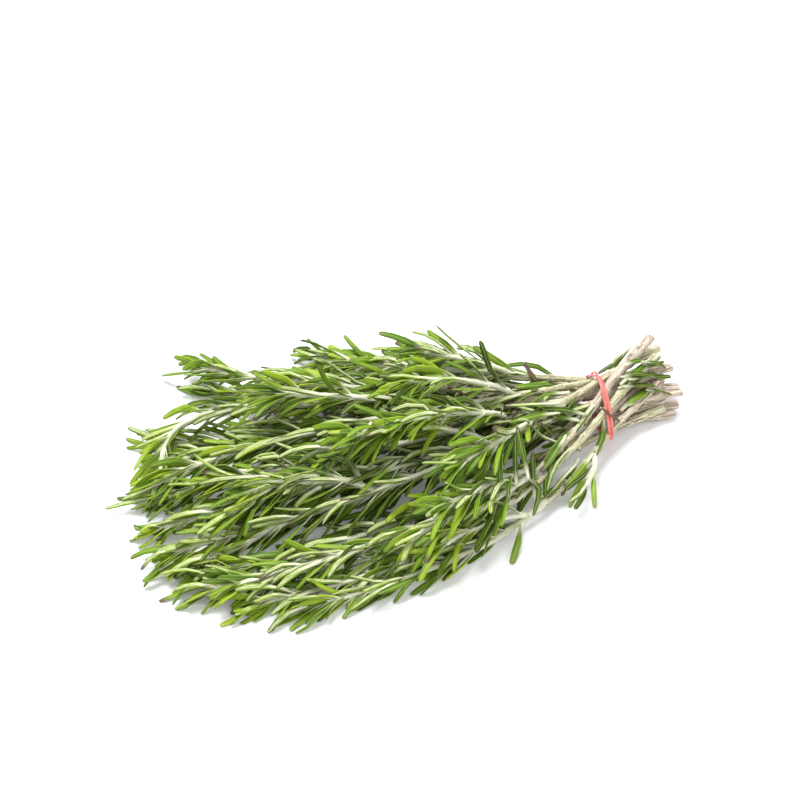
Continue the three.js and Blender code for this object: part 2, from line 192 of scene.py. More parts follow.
# %% Trace every stem and every shoot's own axis
STEM_REST = 0.6 * MM  # what is left ahead of the walker where it stops in a stem
TUFT = 13 * MM  # and in a shoot, whose last leaves reach about this far past its growing tip
ROOT_DEPTH = 1.5 * MM  # how far a shoot's axis is carried back into the stem that bears it

lines = {}


def rooted(points, radii, bearer):
    """An axis carried back from its heel into the middle of the stem that bears it."""
    place, ahead = bearer
    root = place - ahead * ROOT_DEPTH
    count = max(2, round(float(np.linalg.norm(points[0] - root)) / STRIDE))
    extra = root + (points[0] - root) * np.linspace(0, 1, count, endpoint=False)[:, None]
    return np.vstack([extra, points]), np.concatenate([np.full(count, radii[0]), radii])


def nearest(place, names):
    """The place and direction of the nearest point on any of the named lines."""
    rows = np.vstack([lines[name].rows for name in names])
    row = rows[np.linalg.norm(rows[:, :3] - place, axis=1).argmin()]
    return row[:3], row[3:6]


for name in stem_names:
    lines[name] = Line(*middle_line(name, STEM_REST))
for name in sorted(shoot_names, key=lambda name: not name.endswith("tip")):
    number = name.split("_")[1]
    bearers = [n for n in lines if n.split("_")[1] == number]
    axis, radii = middle_line(name, TUFT)
    lines[name] = Line(*rooted(axis, radii, nearest(axis[0], bearers)))
print(f"{sum(line.length for line in lines.values()):.2f} m of stems and shoots to grow along")

# %% [markdown]
# ## One leaf
# A rosemary leaf is a needle that is really a rolled-up blade: green, leathery and grooved on top,
# with its two margins rolled under, and white felt with a raised midrib showing between them. It
# could be a flat card with a picture of a leaf, but the cards vanish edge-on, and half of the leaves
# in a bunch show their pale underside. So one closed leaf is modelled, with few faces, because
# thousands of copies follow.

# %% Select parts of a mesh by their place
OFF_AXIS = 0.02 * MM


def only(kind, test):
    """In edit mode, selects the verts, edges or faces that pass a test, and nothing else."""
    mode = {"verts": "VERT", "edges": "EDGE", "faces": "FACE"}[kind]
    bpy.ops.mesh.select_mode(type=mode)
    bpy.ops.mesh.select_all(action="DESELECT")
    mesh = bmesh.from_edit_mesh(bpy.context.object.data)
    for part in getattr(mesh, kind):
        if test(part):
            part.select_set(True)
    mesh.select_flush_mode()
    bmesh.update_edit_mesh(bpy.context.object.data)


def near(value, target, within=0.01 * MM):
    """True where two lengths are the same to within a hundredth of a millimetre."""
    return abs(value - target) < within


def off_axis(v):
    """False for the middle point of an end, which the rings round it leave alone."""
    return v.co.yz.length > OFF_AXIS


def add_tube(sides, radius, length, ends):
    """A cylinder along +X from the origin, open for editing."""
    bpy.ops.object.select_all(action="DESELECT")
    bpy.ops.mesh.primitive_cylinder_add(
        vertices=sides, radius=radius, depth=length, end_fill_type=ends,
        location=(length / 2, 0, 0), rotation=(0, math.pi / 2, 0),
    )
    bpy.ops.object.transform_apply(location=True, rotation=True, scale=True)
    bpy.ops.object.mode_set(mode="EDIT")
    return bpy.context.object


def runs_along(edge):
    """True for the long edges of a tube, which subdividing cuts into rings."""
    a, b = edge.verts
    return abs(a.co.x - b.co.x) > 0.5 * edge.calc_length() > MM


# %% Cut a tube into a leaf's stations
LEAF_SIDES = 8
LEAF_LENGTH = 27 * MM
LEAF_WIDTH = 3.2 * MM
LEAF_THICKNESS = 0.95 * MM
STATIONS = [  # share of the length, of the width and of the thickness
    (0, 0.4, 0.8), (0.09, 0.5, 0.9), (0.27, 0.82, 1), (0.5, 1, 1),
    (0.74, 0.97, 0.92), (0.94, 0.76, 0.8), (0.99, 0.42, 0.5),
]

leaf = add_tube(LEAF_SIDES, LEAF_WIDTH / 2, LEAF_LENGTH, "TRIFAN")
cuts = len(STATIONS) - 1
only("edges", runs_along)
bpy.ops.mesh.subdivide(number_cuts=cuts - 1)
for i, (share, wide, thick) in enumerate(STATIONS):
    x = LEAF_LENGTH * i / cuts
    only("verts", lambda v: near(v.co.x, x) and off_axis(v))
    bpy.ops.transform.translate(value=(LEAF_LENGTH * share - x, 0, 0))
    bpy.ops.transform.resize(
        value=(1, wide, thick * LEAF_THICKNESS / LEAF_WIDTH),
        center_override=(LEAF_LENGTH * share, 0, 0),
    )
print("a tube with", cuts + 1, "stations")

# %% Groove its upper side and roll its margins under
def on_column(v, sideways, upwards):
    """True for the points of one lengthwise row: 0 is the middle, 1 a shoulder and 2 an edge."""
    column = 0 if near(v.co.y, 0) else 2 if near(v.co.z, 0) else 1
    return off_axis(v) and column == sideways and (v.co.z > 0) == upwards


SECTION = [  # row, upper or lower side, and how its place across and its height are scaled
    (0, True, 1, 0.15),  # the groove
    (1, True, 0.92, 1.3),  # the shoulders either side of it
    (1, False, 1.02, 1.3),  # the rolled margins
    (0, False, 1, 0.6),  # the midrib, which the margins stand proud of
]
for sideways, upwards, across, height in SECTION:
    only("verts", lambda v: on_column(v, sideways, upwards))
    bpy.ops.transform.resize(value=(1, across, height), center_override=(0, 0, 0))
bpy.ops.object.mode_set(mode="OBJECT")
print("one leaf:", len(leaf.data.vertices), "points and", len(leaf.data.polygons), "faces")

# %% [markdown]
# ## Twigs and wood
# Rosemary stems come in two kinds. This year's growth is soft, square and covered in pale felt. Last
# year's is round and woody, with bark that splits lengthwise, a swelling at every node, and a pair of
# scars there where leaves have dropped. Both repeat from node to node, each node turned a quarter
# from the last. So one stretch between two nodes is modelled for each kind, and chained.

# %% Model one stretch of soft twig
TWIG_SIDES = 8
TWIG_STRETCH = 5.5 * MM
TWIG_CUTS = 3  # the last of them is the node
TWIG_SWELLING = 1.14  # of the node, where a pair of leaves grows
CORNERS_OUT, FLATS_IN = 1.12, 0.9
RIM = 0.9 * MM  # further out than this is only the outermost ring of a master 1 mm in radius


def on_rim(v, flat):
    """True for the outer points of an eight-sided section, its flats or else its corners."""
    return v.co.yz.length > RIM and (near(v.co.y, 0) or near(v.co.z, 0)) == flat


def make_square():
    """Pulls the corners of an eight-sided section out and its flats in."""
    for flat, scale in ((False, CORNERS_OUT), (True, FLATS_IN)):
        only("verts", lambda v: on_rim(v, flat))
        bpy.ops.transform.resize(value=(1, scale, scale), center_override=(0, 0, 0))


twig = add_tube(TWIG_SIDES, MM, TWIG_STRETCH, "NOTHING")
only("edges", runs_along)
bpy.ops.mesh.subdivide(number_cuts=TWIG_CUTS)
make_square()
only("verts", lambda v: near(v.co.x, TWIG_STRETCH * TWIG_CUTS / (TWIG_CUTS + 1)))
bpy.ops.transform.resize(value=(1, TWIG_SWELLING, TWIG_SWELLING), center_override=(0, 0, 0))
bpy.ops.object.mode_set(mode="OBJECT")
print("one stretch of twig:", len(twig.data.polygons), "faces")

# %% Model one stretch of woody stem, with its furrows, node and scars
WOOD_SIDES = 12
WOOD_STRETCH = 9 * MM
WOOD_CUTS = 4  # the last of them is the node
NODE_AT = WOOD_STRETCH * WOOD_CUTS / (WOOD_CUTS + 1)
WOOD_SWELLING = 1.18
FURROWS = {1: 0.8, 4: 0.86, 6: 0.92, 9: 0.8, 11: 0.88}  # which sides sink in, and to what radius
FURROWS_FROM, FURROWS_TO = 0.1, 0.7  # of the stretch, so that they fade out at the node
FACES_ASIDE = 0.9  # how squarely a face must look sideways to carry a scar
SCAR = ((0.12, 0.1), (0.08, -0.12))  # mm in from its edge and out: a raised lip, and a pit inside it
PROUD = 1.02 * MM  # past the node, only the scars stand out further than this

wood = add_tube(WOOD_SIDES, MM, WOOD_STRETCH, "NOTHING")
only("edges", runs_along)
bpy.ops.mesh.subdivide(number_cuts=WOOD_CUTS)


def side_number(v):
    """Which of the lengthwise rows a point is in, counted round the stem."""
    return round(math.atan2(v.co.z, v.co.y) * WOOD_SIDES / math.tau) % WOOD_SIDES


def in_furrow(v, side):
    """True for the points of one lengthwise row, away from the node."""
    return side_number(v) == side and FURROWS_FROM < v.co.x / WOOD_STRETCH < FURROWS_TO


for side, depth in FURROWS.items():
    only("verts", lambda v: in_furrow(v, side))
    bpy.ops.transform.resize(value=(1, depth, depth), center_override=(0, 0, 0))
only("verts", lambda v: near(v.co.x, NODE_AT))
bpy.ops.transform.resize(value=(1, WOOD_SWELLING, WOOD_SWELLING), center_override=(0, 0, 0))


def is_scar(face):
    """True for the two faces past the node, on opposite sides, where leaves have dropped."""
    middle = face.calc_center_median()
    return NODE_AT < middle.x and abs(face.normal.y) > FACES_ASIDE and middle.z > 0


only("faces", is_scar)
for width, depth in SCAR:
    bpy.ops.mesh.inset(thickness=width * MM, depth=depth * MM, use_individual=True)
bpy.ops.object.mode_set(mode="OBJECT")
print("one stretch of wood:", len(wood.data.polygons), "faces")

# %% [markdown]
# ## Ends and stubs
# A stem ends in a snipped face with a rim, a few rings and a soft pith, and its other end runs into a
# shoot. A flat fill would close both, but it shades like a paper disc, so a disc is inset a few times,
# each ring a little in or out. Stems also keep the stubs of twigs that were pulled off, as short pegs
# with a torn slope at the end.

# %% Model the two ends of a stem
CUT_RINGS = ((0.06, 0.05), (0.1, -0.06), (0.3, -0.03), (0.3, 0.02), (0.1, -0.12))  # mm in and out
CAP_RINGS = ((0.14, 0.1), (0.3, 0.1), (0.3, 0.04))
TWIG_CAP_RINGS = ((0.2, 0.2), (0.4, 0.14))
PITH = 0.3 * MM


def add_end(sides, rings):
    """A filled disc that faces -X, inset once for each ring and left in edit mode."""
    bpy.ops.object.select_all(action="DESELECT")
    bpy.ops.mesh.primitive_circle_add(
        vertices=sides, radius=MM, fill_type="NGON", rotation=(0, -math.pi / 2, 0)
    )
    bpy.ops.object.transform_apply(location=True, rotation=True, scale=True)
    bpy.ops.object.mode_set(mode="EDIT")
    for width, depth in rings:
        only("faces", lambda face: len(face.verts) == sides)
        bpy.ops.mesh.inset(thickness=width * MM, depth=depth * MM)
    return bpy.context.object


cut = add_end(WOOD_SIDES, CUT_RINGS)
bpy.ops.object.mode_set(mode="OBJECT")
cap = add_end(WOOD_SIDES, CAP_RINGS)
bpy.ops.object.mode_set(mode="OBJECT")
twig_cap = add_end(TWIG_SIDES, TWIG_CAP_RINGS)
make_square()
bpy.ops.object.mode_set(mode="OBJECT")
print("a cut end of", len(cut.data.polygons), "faces")

# %% Model the stub of a side twig that broke off
STUB_SIDES = 6
STUB_LENGTH = 2.6 * MM
STUB_RADIUS = 0.6 * MM
STUB_TAPER = 0.74  # the radius of its outer half, as a share of that
TORN_BACK = 0.5 * MM  # how far the upper half of its end is torn back
HOLLOWED = 0.45 * MM  # and how far its middle is sunk in
BROKEN_FROM = 0.7 * STUB_LENGTH

stub = add_tube(STUB_SIDES, STUB_RADIUS, STUB_LENGTH, "TRIFAN")
only("edges", runs_along)
bpy.ops.mesh.subdivide(number_cuts=2)
only("verts", lambda v: v.co.x > STUB_LENGTH / 2)
bpy.ops.transform.resize(value=(1, STUB_TAPER, STUB_TAPER), center_override=(0, 0, 0))
only("verts", lambda v: near(v.co.x, STUB_LENGTH) and v.co.z > OFF_AXIS)
bpy.ops.transform.translate(value=(-TORN_BACK, 0, 0))
only("verts", lambda v: near(v.co.x, STUB_LENGTH) and not off_axis(v))
bpy.ops.transform.translate(value=(-HOLLOWED, 0, 0))
bpy.ops.object.mode_set(mode="OBJECT")
print("a stub of", len(stub.data.polygons), "faces")

# %% [markdown]
# ## Laying copies along their lines
# Blender could bend each copy with a curve modifier, but that is one curve and one modifier for each
# of two thousand leaves. It is simpler to move the points: a master runs along X, so its X says how
# far along the line a point goes, and its Y and Z say how far to the sides. Each copy also carries
# marks for the shaders: its grain, which is where a point was on the master, and its tone and age.

# %% Read the masters as arrays
class Shape:
    """A modelled master as arrays, with a mark of 1 on points that pass a test."""

    def __init__(self, master, marked=lambda v: False):
        mesh = master.data
        self.points = np.array([v.co for v in mesh.vertices])
        self.faces = [tuple(p.vertices) for p in mesh.polygons]
        self.mark = np.array([float(marked(v)) for v in mesh.vertices])
        bpy.data.objects.remove(master)


LEAF = Shape(leaf, lambda v: on_column(v, 0, False))  # marks the midrib
TWIG = Shape(twig)
WOOD = Shape(wood, lambda v: v.co.x > NODE_AT and v.co.yz.length > PROUD)  # marks the scars
CUT = Shape(cut, lambda v: v.co.yz.length < PITH)  # marks the pith
CAP = Shape(cap)
TWIG_CAP = Shape(twig_cap)
STUB = Shape(stub, lambda v: v.co.x > BROKEN_FROM)  # marks the broken end
print(round(LEAF.mark.sum()), "points on the midrib, and", round(WOOD.mark.sum()), "round the scars")

# %% Gather copies into one mesh
class Growth:
    """One grown piece: the laid copies of its masters, their kinds of surface and their marks."""

    def __init__(self):
        self.points, self.faces, self.kinds = [], [], []
        self.marks = {"grain": [], "feature": [], "tone": [], "age": [], "dry": []}
        self.count = 0

    def add(self, shape, points, kind, grain, tone, age, dry=0.0):
        """Takes up one copy. A mark may be one value for the whole copy or a row of them."""
        self.points.append(points)
        self.faces += [tuple(self.count + i for i in face) for face in shape.faces]
        self.kinds += [kind] * len(shape.faces)
        rows = {"grain": grain, "feature": shape.mark, "tone": tone, "age": age, "dry": dry}
        for name, values in rows.items():
            width = (3,) if name == "grain" else ()
            self.marks[name].append(np.broadcast_to(values, (len(points), *width)))
        self.count += len(points)


# %% Lay a copy round a line
RELIEF = 0.09  # how far a stem's surface wanders in and out, as a share of its radius
LUMP = 2.5 * MM  # the size of those lumps
APART = 50  # lumps from one stem's stretch of the noise to that of a stem with another tone
CUT_REACH = 4 * MM  # how far from an oblique cut the stem's rings are still oblique


def lay(growth, shape, kind, line, radius, tone, ages, start, scale, turn=0.0, slant=0.0, flip=1):
    """Adds a copy from start along the line. flip -1 turns it end for end."""
    x, y, z = (shape.points * (flip, flip, 1)).T
    y, z = y * math.cos(turn) - z * math.sin(turn), y * math.sin(turn) + z * math.cos(turn)
    distance = start + scale * x
    seeds = np.stack([distance / LUMP + APART * tone, y / MM, z / MM], axis=1)
    lumps = 1 + RELIEF * np.array([noise.noise(Vector(seed)) for seed in seeds])
    place, ahead, side, other = line.at(distance)
    aside = y / MM * radius(distance) * lumps
    upwards = z / MM * radius(distance) * lumps
    lean = slant * aside * np.clip(1 - distance / CUT_REACH, 0, 1)
    points = place + ahead * lean[:, None] + side * aside[:, None] + other * upwards[:, None]
    grain = np.stack([distance, aside, upwards], axis=1) / MM
    growth.add(shape, points, kind, grain, tone, np.interp(distance, *ages))


def chain(growth, shape, kind, line, radius, tone, ages, slant=0.0):
    """Lays stretches end to end all along the line, each turned a quarter from the last."""
    span = np.ptp(shape.points[:, 0])
    count = max(1, round(line.length / span))
    scale = line.length / count / span
    for i in range(count):
        start, turn = line.length * i / count, math.pi / 2 * i
        lay(growth, shape, kind, line, radius, tone, ages, start, scale, turn, slant)


# %% [markdown]
# ## Leaves
# A leaf leaves its stem at an angle, hugs it for a few millimetres and then bends away in a slack
# curve, pulled down a little by its own weight. Its green side faces the stem's tip and its felted
# side faces back. It also twists on its way, until one of its two faces looks up at the light.
# The line is worked out in short straight steps, which is simpler than a formula for such a curve.

# %% Lay a leaf along its own line
TABLE = 0.35 * MM  # the lowest that a leaf's middle line lies, under half of its thickness
LOWEST = 0.1 * MM  # and the lowest point of any leaf
LEAF_STEPS = 12
TWIST_DONE = 0.6  # the share of a leaf's length by which it has finished twisting
LEAF_SHARES = LEAF.points[:, 0] / LEAF_LENGTH


def leaf_line(leaf):
    """Shares of a leaf's length, and the place, direction and sideways direction at each."""
    share = np.linspace(0, 1, LEAF_STEPS + 1)[:, None]
    across = np.cross(leaf["along"], leaf["out"])
    bend = leaf["angle"] + leaf["curl"] * share + leaf["wave"] * np.sin(math.tau * share)
    sway = leaf["sway"] * share
    ahead = leaf["along"] * np.cos(bend) + leaf["out"] * np.sin(bend)
    ahead = ahead * np.cos(sway) + across * np.sin(sway)
    ahead = unit(ahead - UP * leaf["sag"] * share**2)
    steps = (ahead[1:] + ahead[:-1]) / 2 * leaf["length"] / LEAF_STEPS
    place = leaf["base"] + np.vstack([np.zeros(3), np.cumsum(steps, axis=0)])
    sideways = unit(across - ahead * (ahead @ across)[:, None])
    return share[:, 0], np.hstack([place, ahead, sideways])


def lay_leaf(growth, leaf):
    """Adds a copy of the leaf, bent along its line, rolled and kept above the table."""
    shares, rows = leaf_line(leaf)
    rows = np.array([np.interp(LEAF_SHARES, shares, column) for column in rows.T]).T
    place, ahead, sideways = np.split(rows, 3, axis=1)
    place[:, 2] = np.maximum(place[:, 2], TABLE + leaf["width"] * LEAF_THICKNESS / 2)
    upper = np.cross(ahead, sideways)
    roll = leaf["lean"] + leaf["twist"] * np.minimum(LEAF_SHARES / TWIST_DONE, 1)
    cos, sin = np.cos(roll)[:, None], np.sin(roll)[:, None]
    y, z = LEAF.points[:, 1:2] * leaf["width"], LEAF.points[:, 2:3] * leaf["width"]
    points = place + (sideways * cos + upper * sin) * y + (upper * cos - sideways * sin) * z
    points[:, 2] = np.maximum(points[:, 2], LOWEST)
    growth.add(LEAF, points, "leaf", LEAF.points / MM, leaf["tone"], leaf["age"], leaf["dry"])


# %% Find the leaves that the solids already have
FURTHEST_BASE = 4 * MM  # from a stem's middle, past which a spindle isn't a leaf
FIRST_SLOPE, LAST_SLOPE = 0.125, 0.875  # shares of its length where its slopes are taken


def around(points, seen):
    """The next ring of points out from some, without those already seen."""
    return {edge.other_vert(v) for v in points for edge in v.link_edges} - seen


def centre(points):
    """The middle of some points of a mesh."""
    return np.array([v.co for v in points]).mean(axis=0)


def slope(step, along, out):
    """The angle from along towards out that a step goes."""
    return math.atan2(step @ out, step @ along)


def leaves_of_solid(name):
    """The leaves of a shoot's solid: three-sided spindles, read from their tips inwards."""
    surface, line, found = joined(name), lines[name], []
    for tip in (v for v in surface.verts if len(v.link_edges) == 3):
        upper = around([tip], {tip})
        lower = around(upper, upper | {tip})
        if len(lower) != 3:
            continue
        end, high, low = np.array(tip.co), centre(upper), centre(lower)
        towards = low + (low - high) / 2
        row = np.linalg.norm(line.rows[:, :3] - towards, axis=1).argmin()
        base, along = line.rows[row, :3], line.rows[row, 3:6]
        if np.linalg.norm(base - towards) > FURTHEST_BASE:
            continue
        out = (low + high) / 2 - base
        out = unit(out - along * (out @ along))
        first, last = slope(low - base, along, out), slope(end - high, along, out)
        curl = (last - first) / (LAST_SLOPE - FIRST_SLOPE)
        first -= curl * FIRST_SLOPE
        found.append({
            "base": base, "along": along, "out": out, "angle": first, "curl": curl,
            "length": sum(np.linalg.norm(step) for step in (low - base, high - low, end - high)),
            "share": line.marks[row] / line.length,
        })
    surface.free()
    return found


solid_leaves = {name: leaves_of_solid(name) for name in shoot_names}
print(sum(map(len, solid_leaves.values())), "leaves found on the solids")

# %% [markdown]
# ## Filling the shoots
# The solids hold about a quarter of the leaves, enough for the outline and for lying on a table. A real
# shoot has a pair every few millimetres, each pair crossing the last, now and then a half-grown leaf in
# the angle above one, and a loose tuft round its growing tip. The shortest shoots, and the near ones at
# their base, have lost most of theirs. A particle system would scatter leaves but knows nothing of
# pairs, so they are grown by rule, from a seed of each shoot's own, and every run grows the same bunch.

# %% Give a leaf its own size, colour and twist
WIDTHS = (0.64, 1.0)  # full-grown leaves, as shares of the master's width
LEAN = 11  # degrees, spread of the roll that a leaf leaves its stem with
WAVE = 10  # degrees, spread of the second bend that makes a leaf's line an S
SWAY = 13  # degrees, spread of the bend to one side
SAG = 1.3  # how far a leaf's own weight turns its tip down, at most
MOST_TWIST = math.radians(124)  # that a leaf goes through to bring its green face up
FLIPPED = 0.3  # share of leaves that go further
LEAST_DONE = 0.4  # share of that twist that the laziest leaf makes
OLDEST, YOUNGER = 0.9, 0.5  # the age of a shoot's first leaves, and how much younger its last are
AGE_SPREAD = 0.24
WILTING, WILTED = 0.04, 0.14  # the chance that a leaf's tip has dried, and how much it has


def to_the_light(leaf, rng):
    """The twist that brings one of a leaf's faces to look up, most of the way."""
    bend = leaf["angle"] + leaf["curl"] / 2
    ahead = leaf["along"] * math.cos(bend) + leaf["out"] * math.sin(bend)
    sideways = np.cross(leaf["along"], leaf["out"])
    green_up = math.atan2(-sideways[2], np.cross(ahead, sideways)[2])
    felt_up = green_up - math.copysign(math.pi, green_up)
    turn = green_up if abs(green_up) < MOST_TWIST or rng.random() < FLIPPED else felt_up
    return turn * rng.uniform(LEAST_DONE, 1)


def dressed(leaf, rng, share, width=None):
    """Adds what makes one leaf differ from the next. Share is how far up its shoot it grew."""
    leaf["width"] = width or rng.uniform(*WIDTHS)
    leaf["wave"] = math.radians(rng.gauss(0, WAVE))
    leaf["sway"] = math.radians(rng.gauss(0, SWAY))
    leaf["sag"] = rng.uniform(0, SAG)
    leaf["lean"] = math.radians(rng.gauss(0, LEAN))
    leaf["twist"] = to_the_light(leaf, rng)
    leaf["tone"] = rng.random()
    leaf["age"] = min(1, max(0, OLDEST - YOUNGER * share + rng.gauss(0, AGE_SPREAD)))
    leaf["dry"] = WILTED if rng.random() < WILTING else 0
    return leaf


def new_leaf(line, distance, turn, angle, curl, length):
    """A leaf whose middle is at an angle to its stem, and which bends by curl on its way."""
    base, along, side, other = line.at(distance)
    out = side * math.cos(turn) + other * math.sin(turn)
    angle, curl = math.radians(angle - curl / 2), math.radians(curl)
    return {"base": base, "along": along, "out": out, "angle": angle, "curl": curl, "length": length}


# %% Grow the crossed pairs, with half-grown leaves between them
PAIR_SPACING = 8.5 * MM  # from one crossed pair to the next, low on the shoot
TIP_SPACING = 0.6  # the spacing under the growing tip, as a share of that
ROLL = 0.3  # radians, spread of a leaf's place round its stem
ANGLES, ANGLE_SPREAD = (27, 16), 5  # degrees, low on the shoot and under its tip
CURLS = (-50, 46)  # degrees
LENGTHS = (0.78, 1.08)  # shares of the master's length
SHORTER = 0.12  # of its length, that a leaf lacks under the tip
FULL, FEWER = 0.95, 0.3  # the chance of each leaf, and where most have been rubbed off
HALF_GROWN = (0, 0, 0, 1)  # leaves in the angle above one: any of these
HALF_ROLL = 0.5
HALF_ANGLES = (0.3, 0.9)  # shares of a full-grown leaf's
HALF_LENGTHS = (0.45, 0.85)
HALF_WIDTHS = (0.56, 0.86)
HALF_SHARE = 0.3  # how far up its shoot a leaf as young as the oldest of them grew


def pairs(line, rubbed_to, rng):
    """The leaves along a shoot, few of them up to where it is rubbed."""
    found, distance, turn = [], PAIR_SPACING / 2, rng.uniform(0, math.pi)
    while distance < line.length:
        share = distance / line.length
        angle = np.interp(share, (0, 1), ANGLES)
        length = LEAF_LENGTH * (1 - SHORTER * share**3)
        for half in (0, math.pi):
            if rng.random() < (FEWER if distance < rubbed_to else FULL):
                full = new_leaf(
                    line, distance, turn + half + rng.gauss(0, ROLL), angle + rng.gauss(0, ANGLE_SPREAD),
                    rng.uniform(*CURLS), length * rng.uniform(*LENGTHS),
                )
                found.append(dressed(full, rng, share))
            if distance >= rubbed_to and rng.choice(HALF_GROWN):
                small = new_leaf(
                    line, distance, turn + half + rng.gauss(0, HALF_ROLL), angle * rng.uniform(*HALF_ANGLES),
                    rng.uniform(*CURLS), length * rng.uniform(*HALF_LENGTHS),
                )
                young = HALF_SHARE + (1 - HALF_SHARE) * share
                found.append(dressed(small, rng, young, rng.uniform(*HALF_WIDTHS)))
        distance += PAIR_SPACING * np.interp(share, (0, 1), (1, TIP_SPACING))
        turn += math.pi / 2
    return found


# %% Grow the tuft round a shoot's tip, and fill every shoot
TUFT_LEAVES, FEW_LEAVES = 7, 2  # in a tuft, and in that of a shoot that has lost most leaves
TUFT_DEPTH = 13 * MM  # a depth of 1 is this far below the growing tip
TUFT_FROM = 4  # leaves still folded in the bud, above the first that shows
TUFT_ANGLE, TUFT_OPENING = 6, 19  # degrees at the tip, and how many more at a depth of 1
TUFT_CURLS = (-10, 30)
TUFT_LENGTHS = (0.6, 0.92)
TUFT_WIDTHS = (0.66, 0.96)
SPARSE = 26 * MM  # a shoot shorter than this has lost most of its leaves
NEAR_SIDE = -22 * MM  # across from the tie, past which a shoot starts on the rubbed near side
RUBBED_REACH = 34 * MM  # how far up such a shoot the leaves are rubbed off
GOLDEN = math.radians(137.5)  # the turn from one leaf to the next in a bud
band_low, band_high = (Vector(corner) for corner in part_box("rubber_band"))
TIE = (band_low + band_high) / 2


def tuft(line, count, rng):
    """The leaves round a growing tip, which spiral like those of a bud."""
    found = []
    for i in range(count):
        depth = (i + TUFT_FROM) / TUFT_LEAVES
        angle = TUFT_ANGLE + TUFT_OPENING * depth + rng.gauss(0, ANGLE_SPREAD)
        leaf = new_leaf(
            line, line.length - TUFT_DEPTH * depth, GOLDEN * i, angle,
            rng.uniform(*TUFT_CURLS), LEAF_LENGTH * rng.uniform(*TUFT_LENGTHS),
        )
        found.append(dressed(leaf, rng, 1, rng.uniform(*TUFT_WIDTHS)))
    return found


leaves = {}
for name in shoot_names:
    line, rng = lines[name], random.Random(name + " solid")
    leaves[name] = [dressed(leaf, rng, leaf["share"]) for leaf in solid_leaves[name]]
    rng, sparse = random.Random(name), line.length < SPARSE
    near_side = line.rows[0, 1] - TIE.y < NEAR_SIDE
    rubbed_to = line.length if sparse else RUBBED_REACH if near_side else 0
    leaves[name] += pairs(line, rubbed_to, rng) + tuft(line, FEW_LEAVES if sparse else TUFT_LEAVES, rng)
print(sum(map(len, leaves.values())), "leaves on the shoots")

# %% [markdown]
# ## Leaves on the old wood
# The woody part isn't bare either. Below the tie it is stripped, but above it a stem keeps more and
# more of its old leaves up to where the green shoot begins. Most of them lie close along it, and on the
# near side of the bunch most are gone. The same rule of crossed pairs grows them, closer and flatter.

# %% Grow leaves on the woody stems
OLD_SPACING = 5 * MM
CLEAR_OF_TIE = 4 * MM
LEAFY_BY = 42 * MM  # from the tie, where a woody stem is as leafy as it gets
LEAFINESS = (0.45, 0.95)  # the chance of a leaf, by the tie and from there on
RUBBED_FROM = -6 * MM  # across the tie, past which the stems are on the near side
RUBBED_LEAFINESS = (0.08, 0.3)
OLD_ROLL = 0.4  # radians
OLD_ANGLES, OLD_CURLS = (4, 22), (-18, 16)  # degrees
OLD_LENGTHS = (0.55, 1.08)
DRIED, DRYNESS = 0.06, (0.5, 1)  # the chance that an old leaf has dried up, and how much it has


def straggling(name):
    """The leaves on a woody stem, from the tie up to its shoot."""
    line, rng, found = lines[name], random.Random(name + " leaves"), []
    row = np.abs(line.rows[:, 0] - TIE.x).argmin()
    tie, aside = line.marks[row], line.rows[row, 1] - TIE.y
    leafiness = RUBBED_LEAFINESS if aside < RUBBED_FROM else LEAFINESS
    distance, turn = tie + CLEAR_OF_TIE, rng.uniform(0, math.pi)
    while distance < line.length:
        chance = np.interp(distance - tie, (0, LEAFY_BY), leafiness)
        for half in (0, math.pi):
            if rng.random() < chance:
                old = new_leaf(
                    line, distance, turn + half + rng.gauss(0, OLD_ROLL), rng.uniform(*OLD_ANGLES),
                    rng.uniform(*OLD_CURLS), LEAF_LENGTH * rng.uniform(*OLD_LENGTHS),
                )
                found.append(dressed(old, rng, 0))
                if rng.random() < DRIED:
                    old["dry"] = rng.uniform(*DRYNESS)
        distance += OLD_SPACING
        turn += math.pi / 2
    return found


old_leaves = {name: straggling(name) for name in stem_names}
print(sum(map(len, old_leaves.values())), "leaves on the old wood")

# %% [markdown]
# ## Loose leaves
# Handling a bunch breaks leaves off, and they end up lying across it. They are scattered here by the
# handful: each handful has a patch to fall in, measured from the middle of the band, and a way that its
# leaves roughly point. Three more have dried to dark curls, and are laid one by one. No height is given:
# a leaf is rested on the highest stems that it crosses, like a ruler on pencils.

# %% Rest a leaf on the stems under it
FELT_UP = 0.25  # share of them that show their felted face
REACH_ASIDE = 1 * MM  # how far beside its middle line a leaf still rests on a stem
LEAST_HELD = 0.4  # share of its length, below which a leaf is wedged in by one end instead
WEDGED_DROP = -0.2  # of its length, as it hangs out from between the stems
STRAIGHTER = 0.4  # how much of a leaf's sway a loose one keeps
LOOSE_CURL, LOOSE_TWIST = 16, 25  # degrees either way, at most
LOOSE_SAG = 0.1
LOOSE_SHARE = 0.4  # how far up its shoot a loose leaf grew, at most
every_row = np.vstack([
    np.hstack([line.rows[:, :3], line.radius(line.marks)[:, None]]) for line in lines.values()
])


def top_at(place):
    """The height of the highest stem under a place, or nothing where there is none."""
    beside = np.linalg.norm(every_row[:, :2] - place[:2], axis=1) - every_row[:, 3]
    under = every_row[beside < REACH_ASIDE]
    return (under[:, 2] + under[:, 3]).max() if len(under) else np.nan


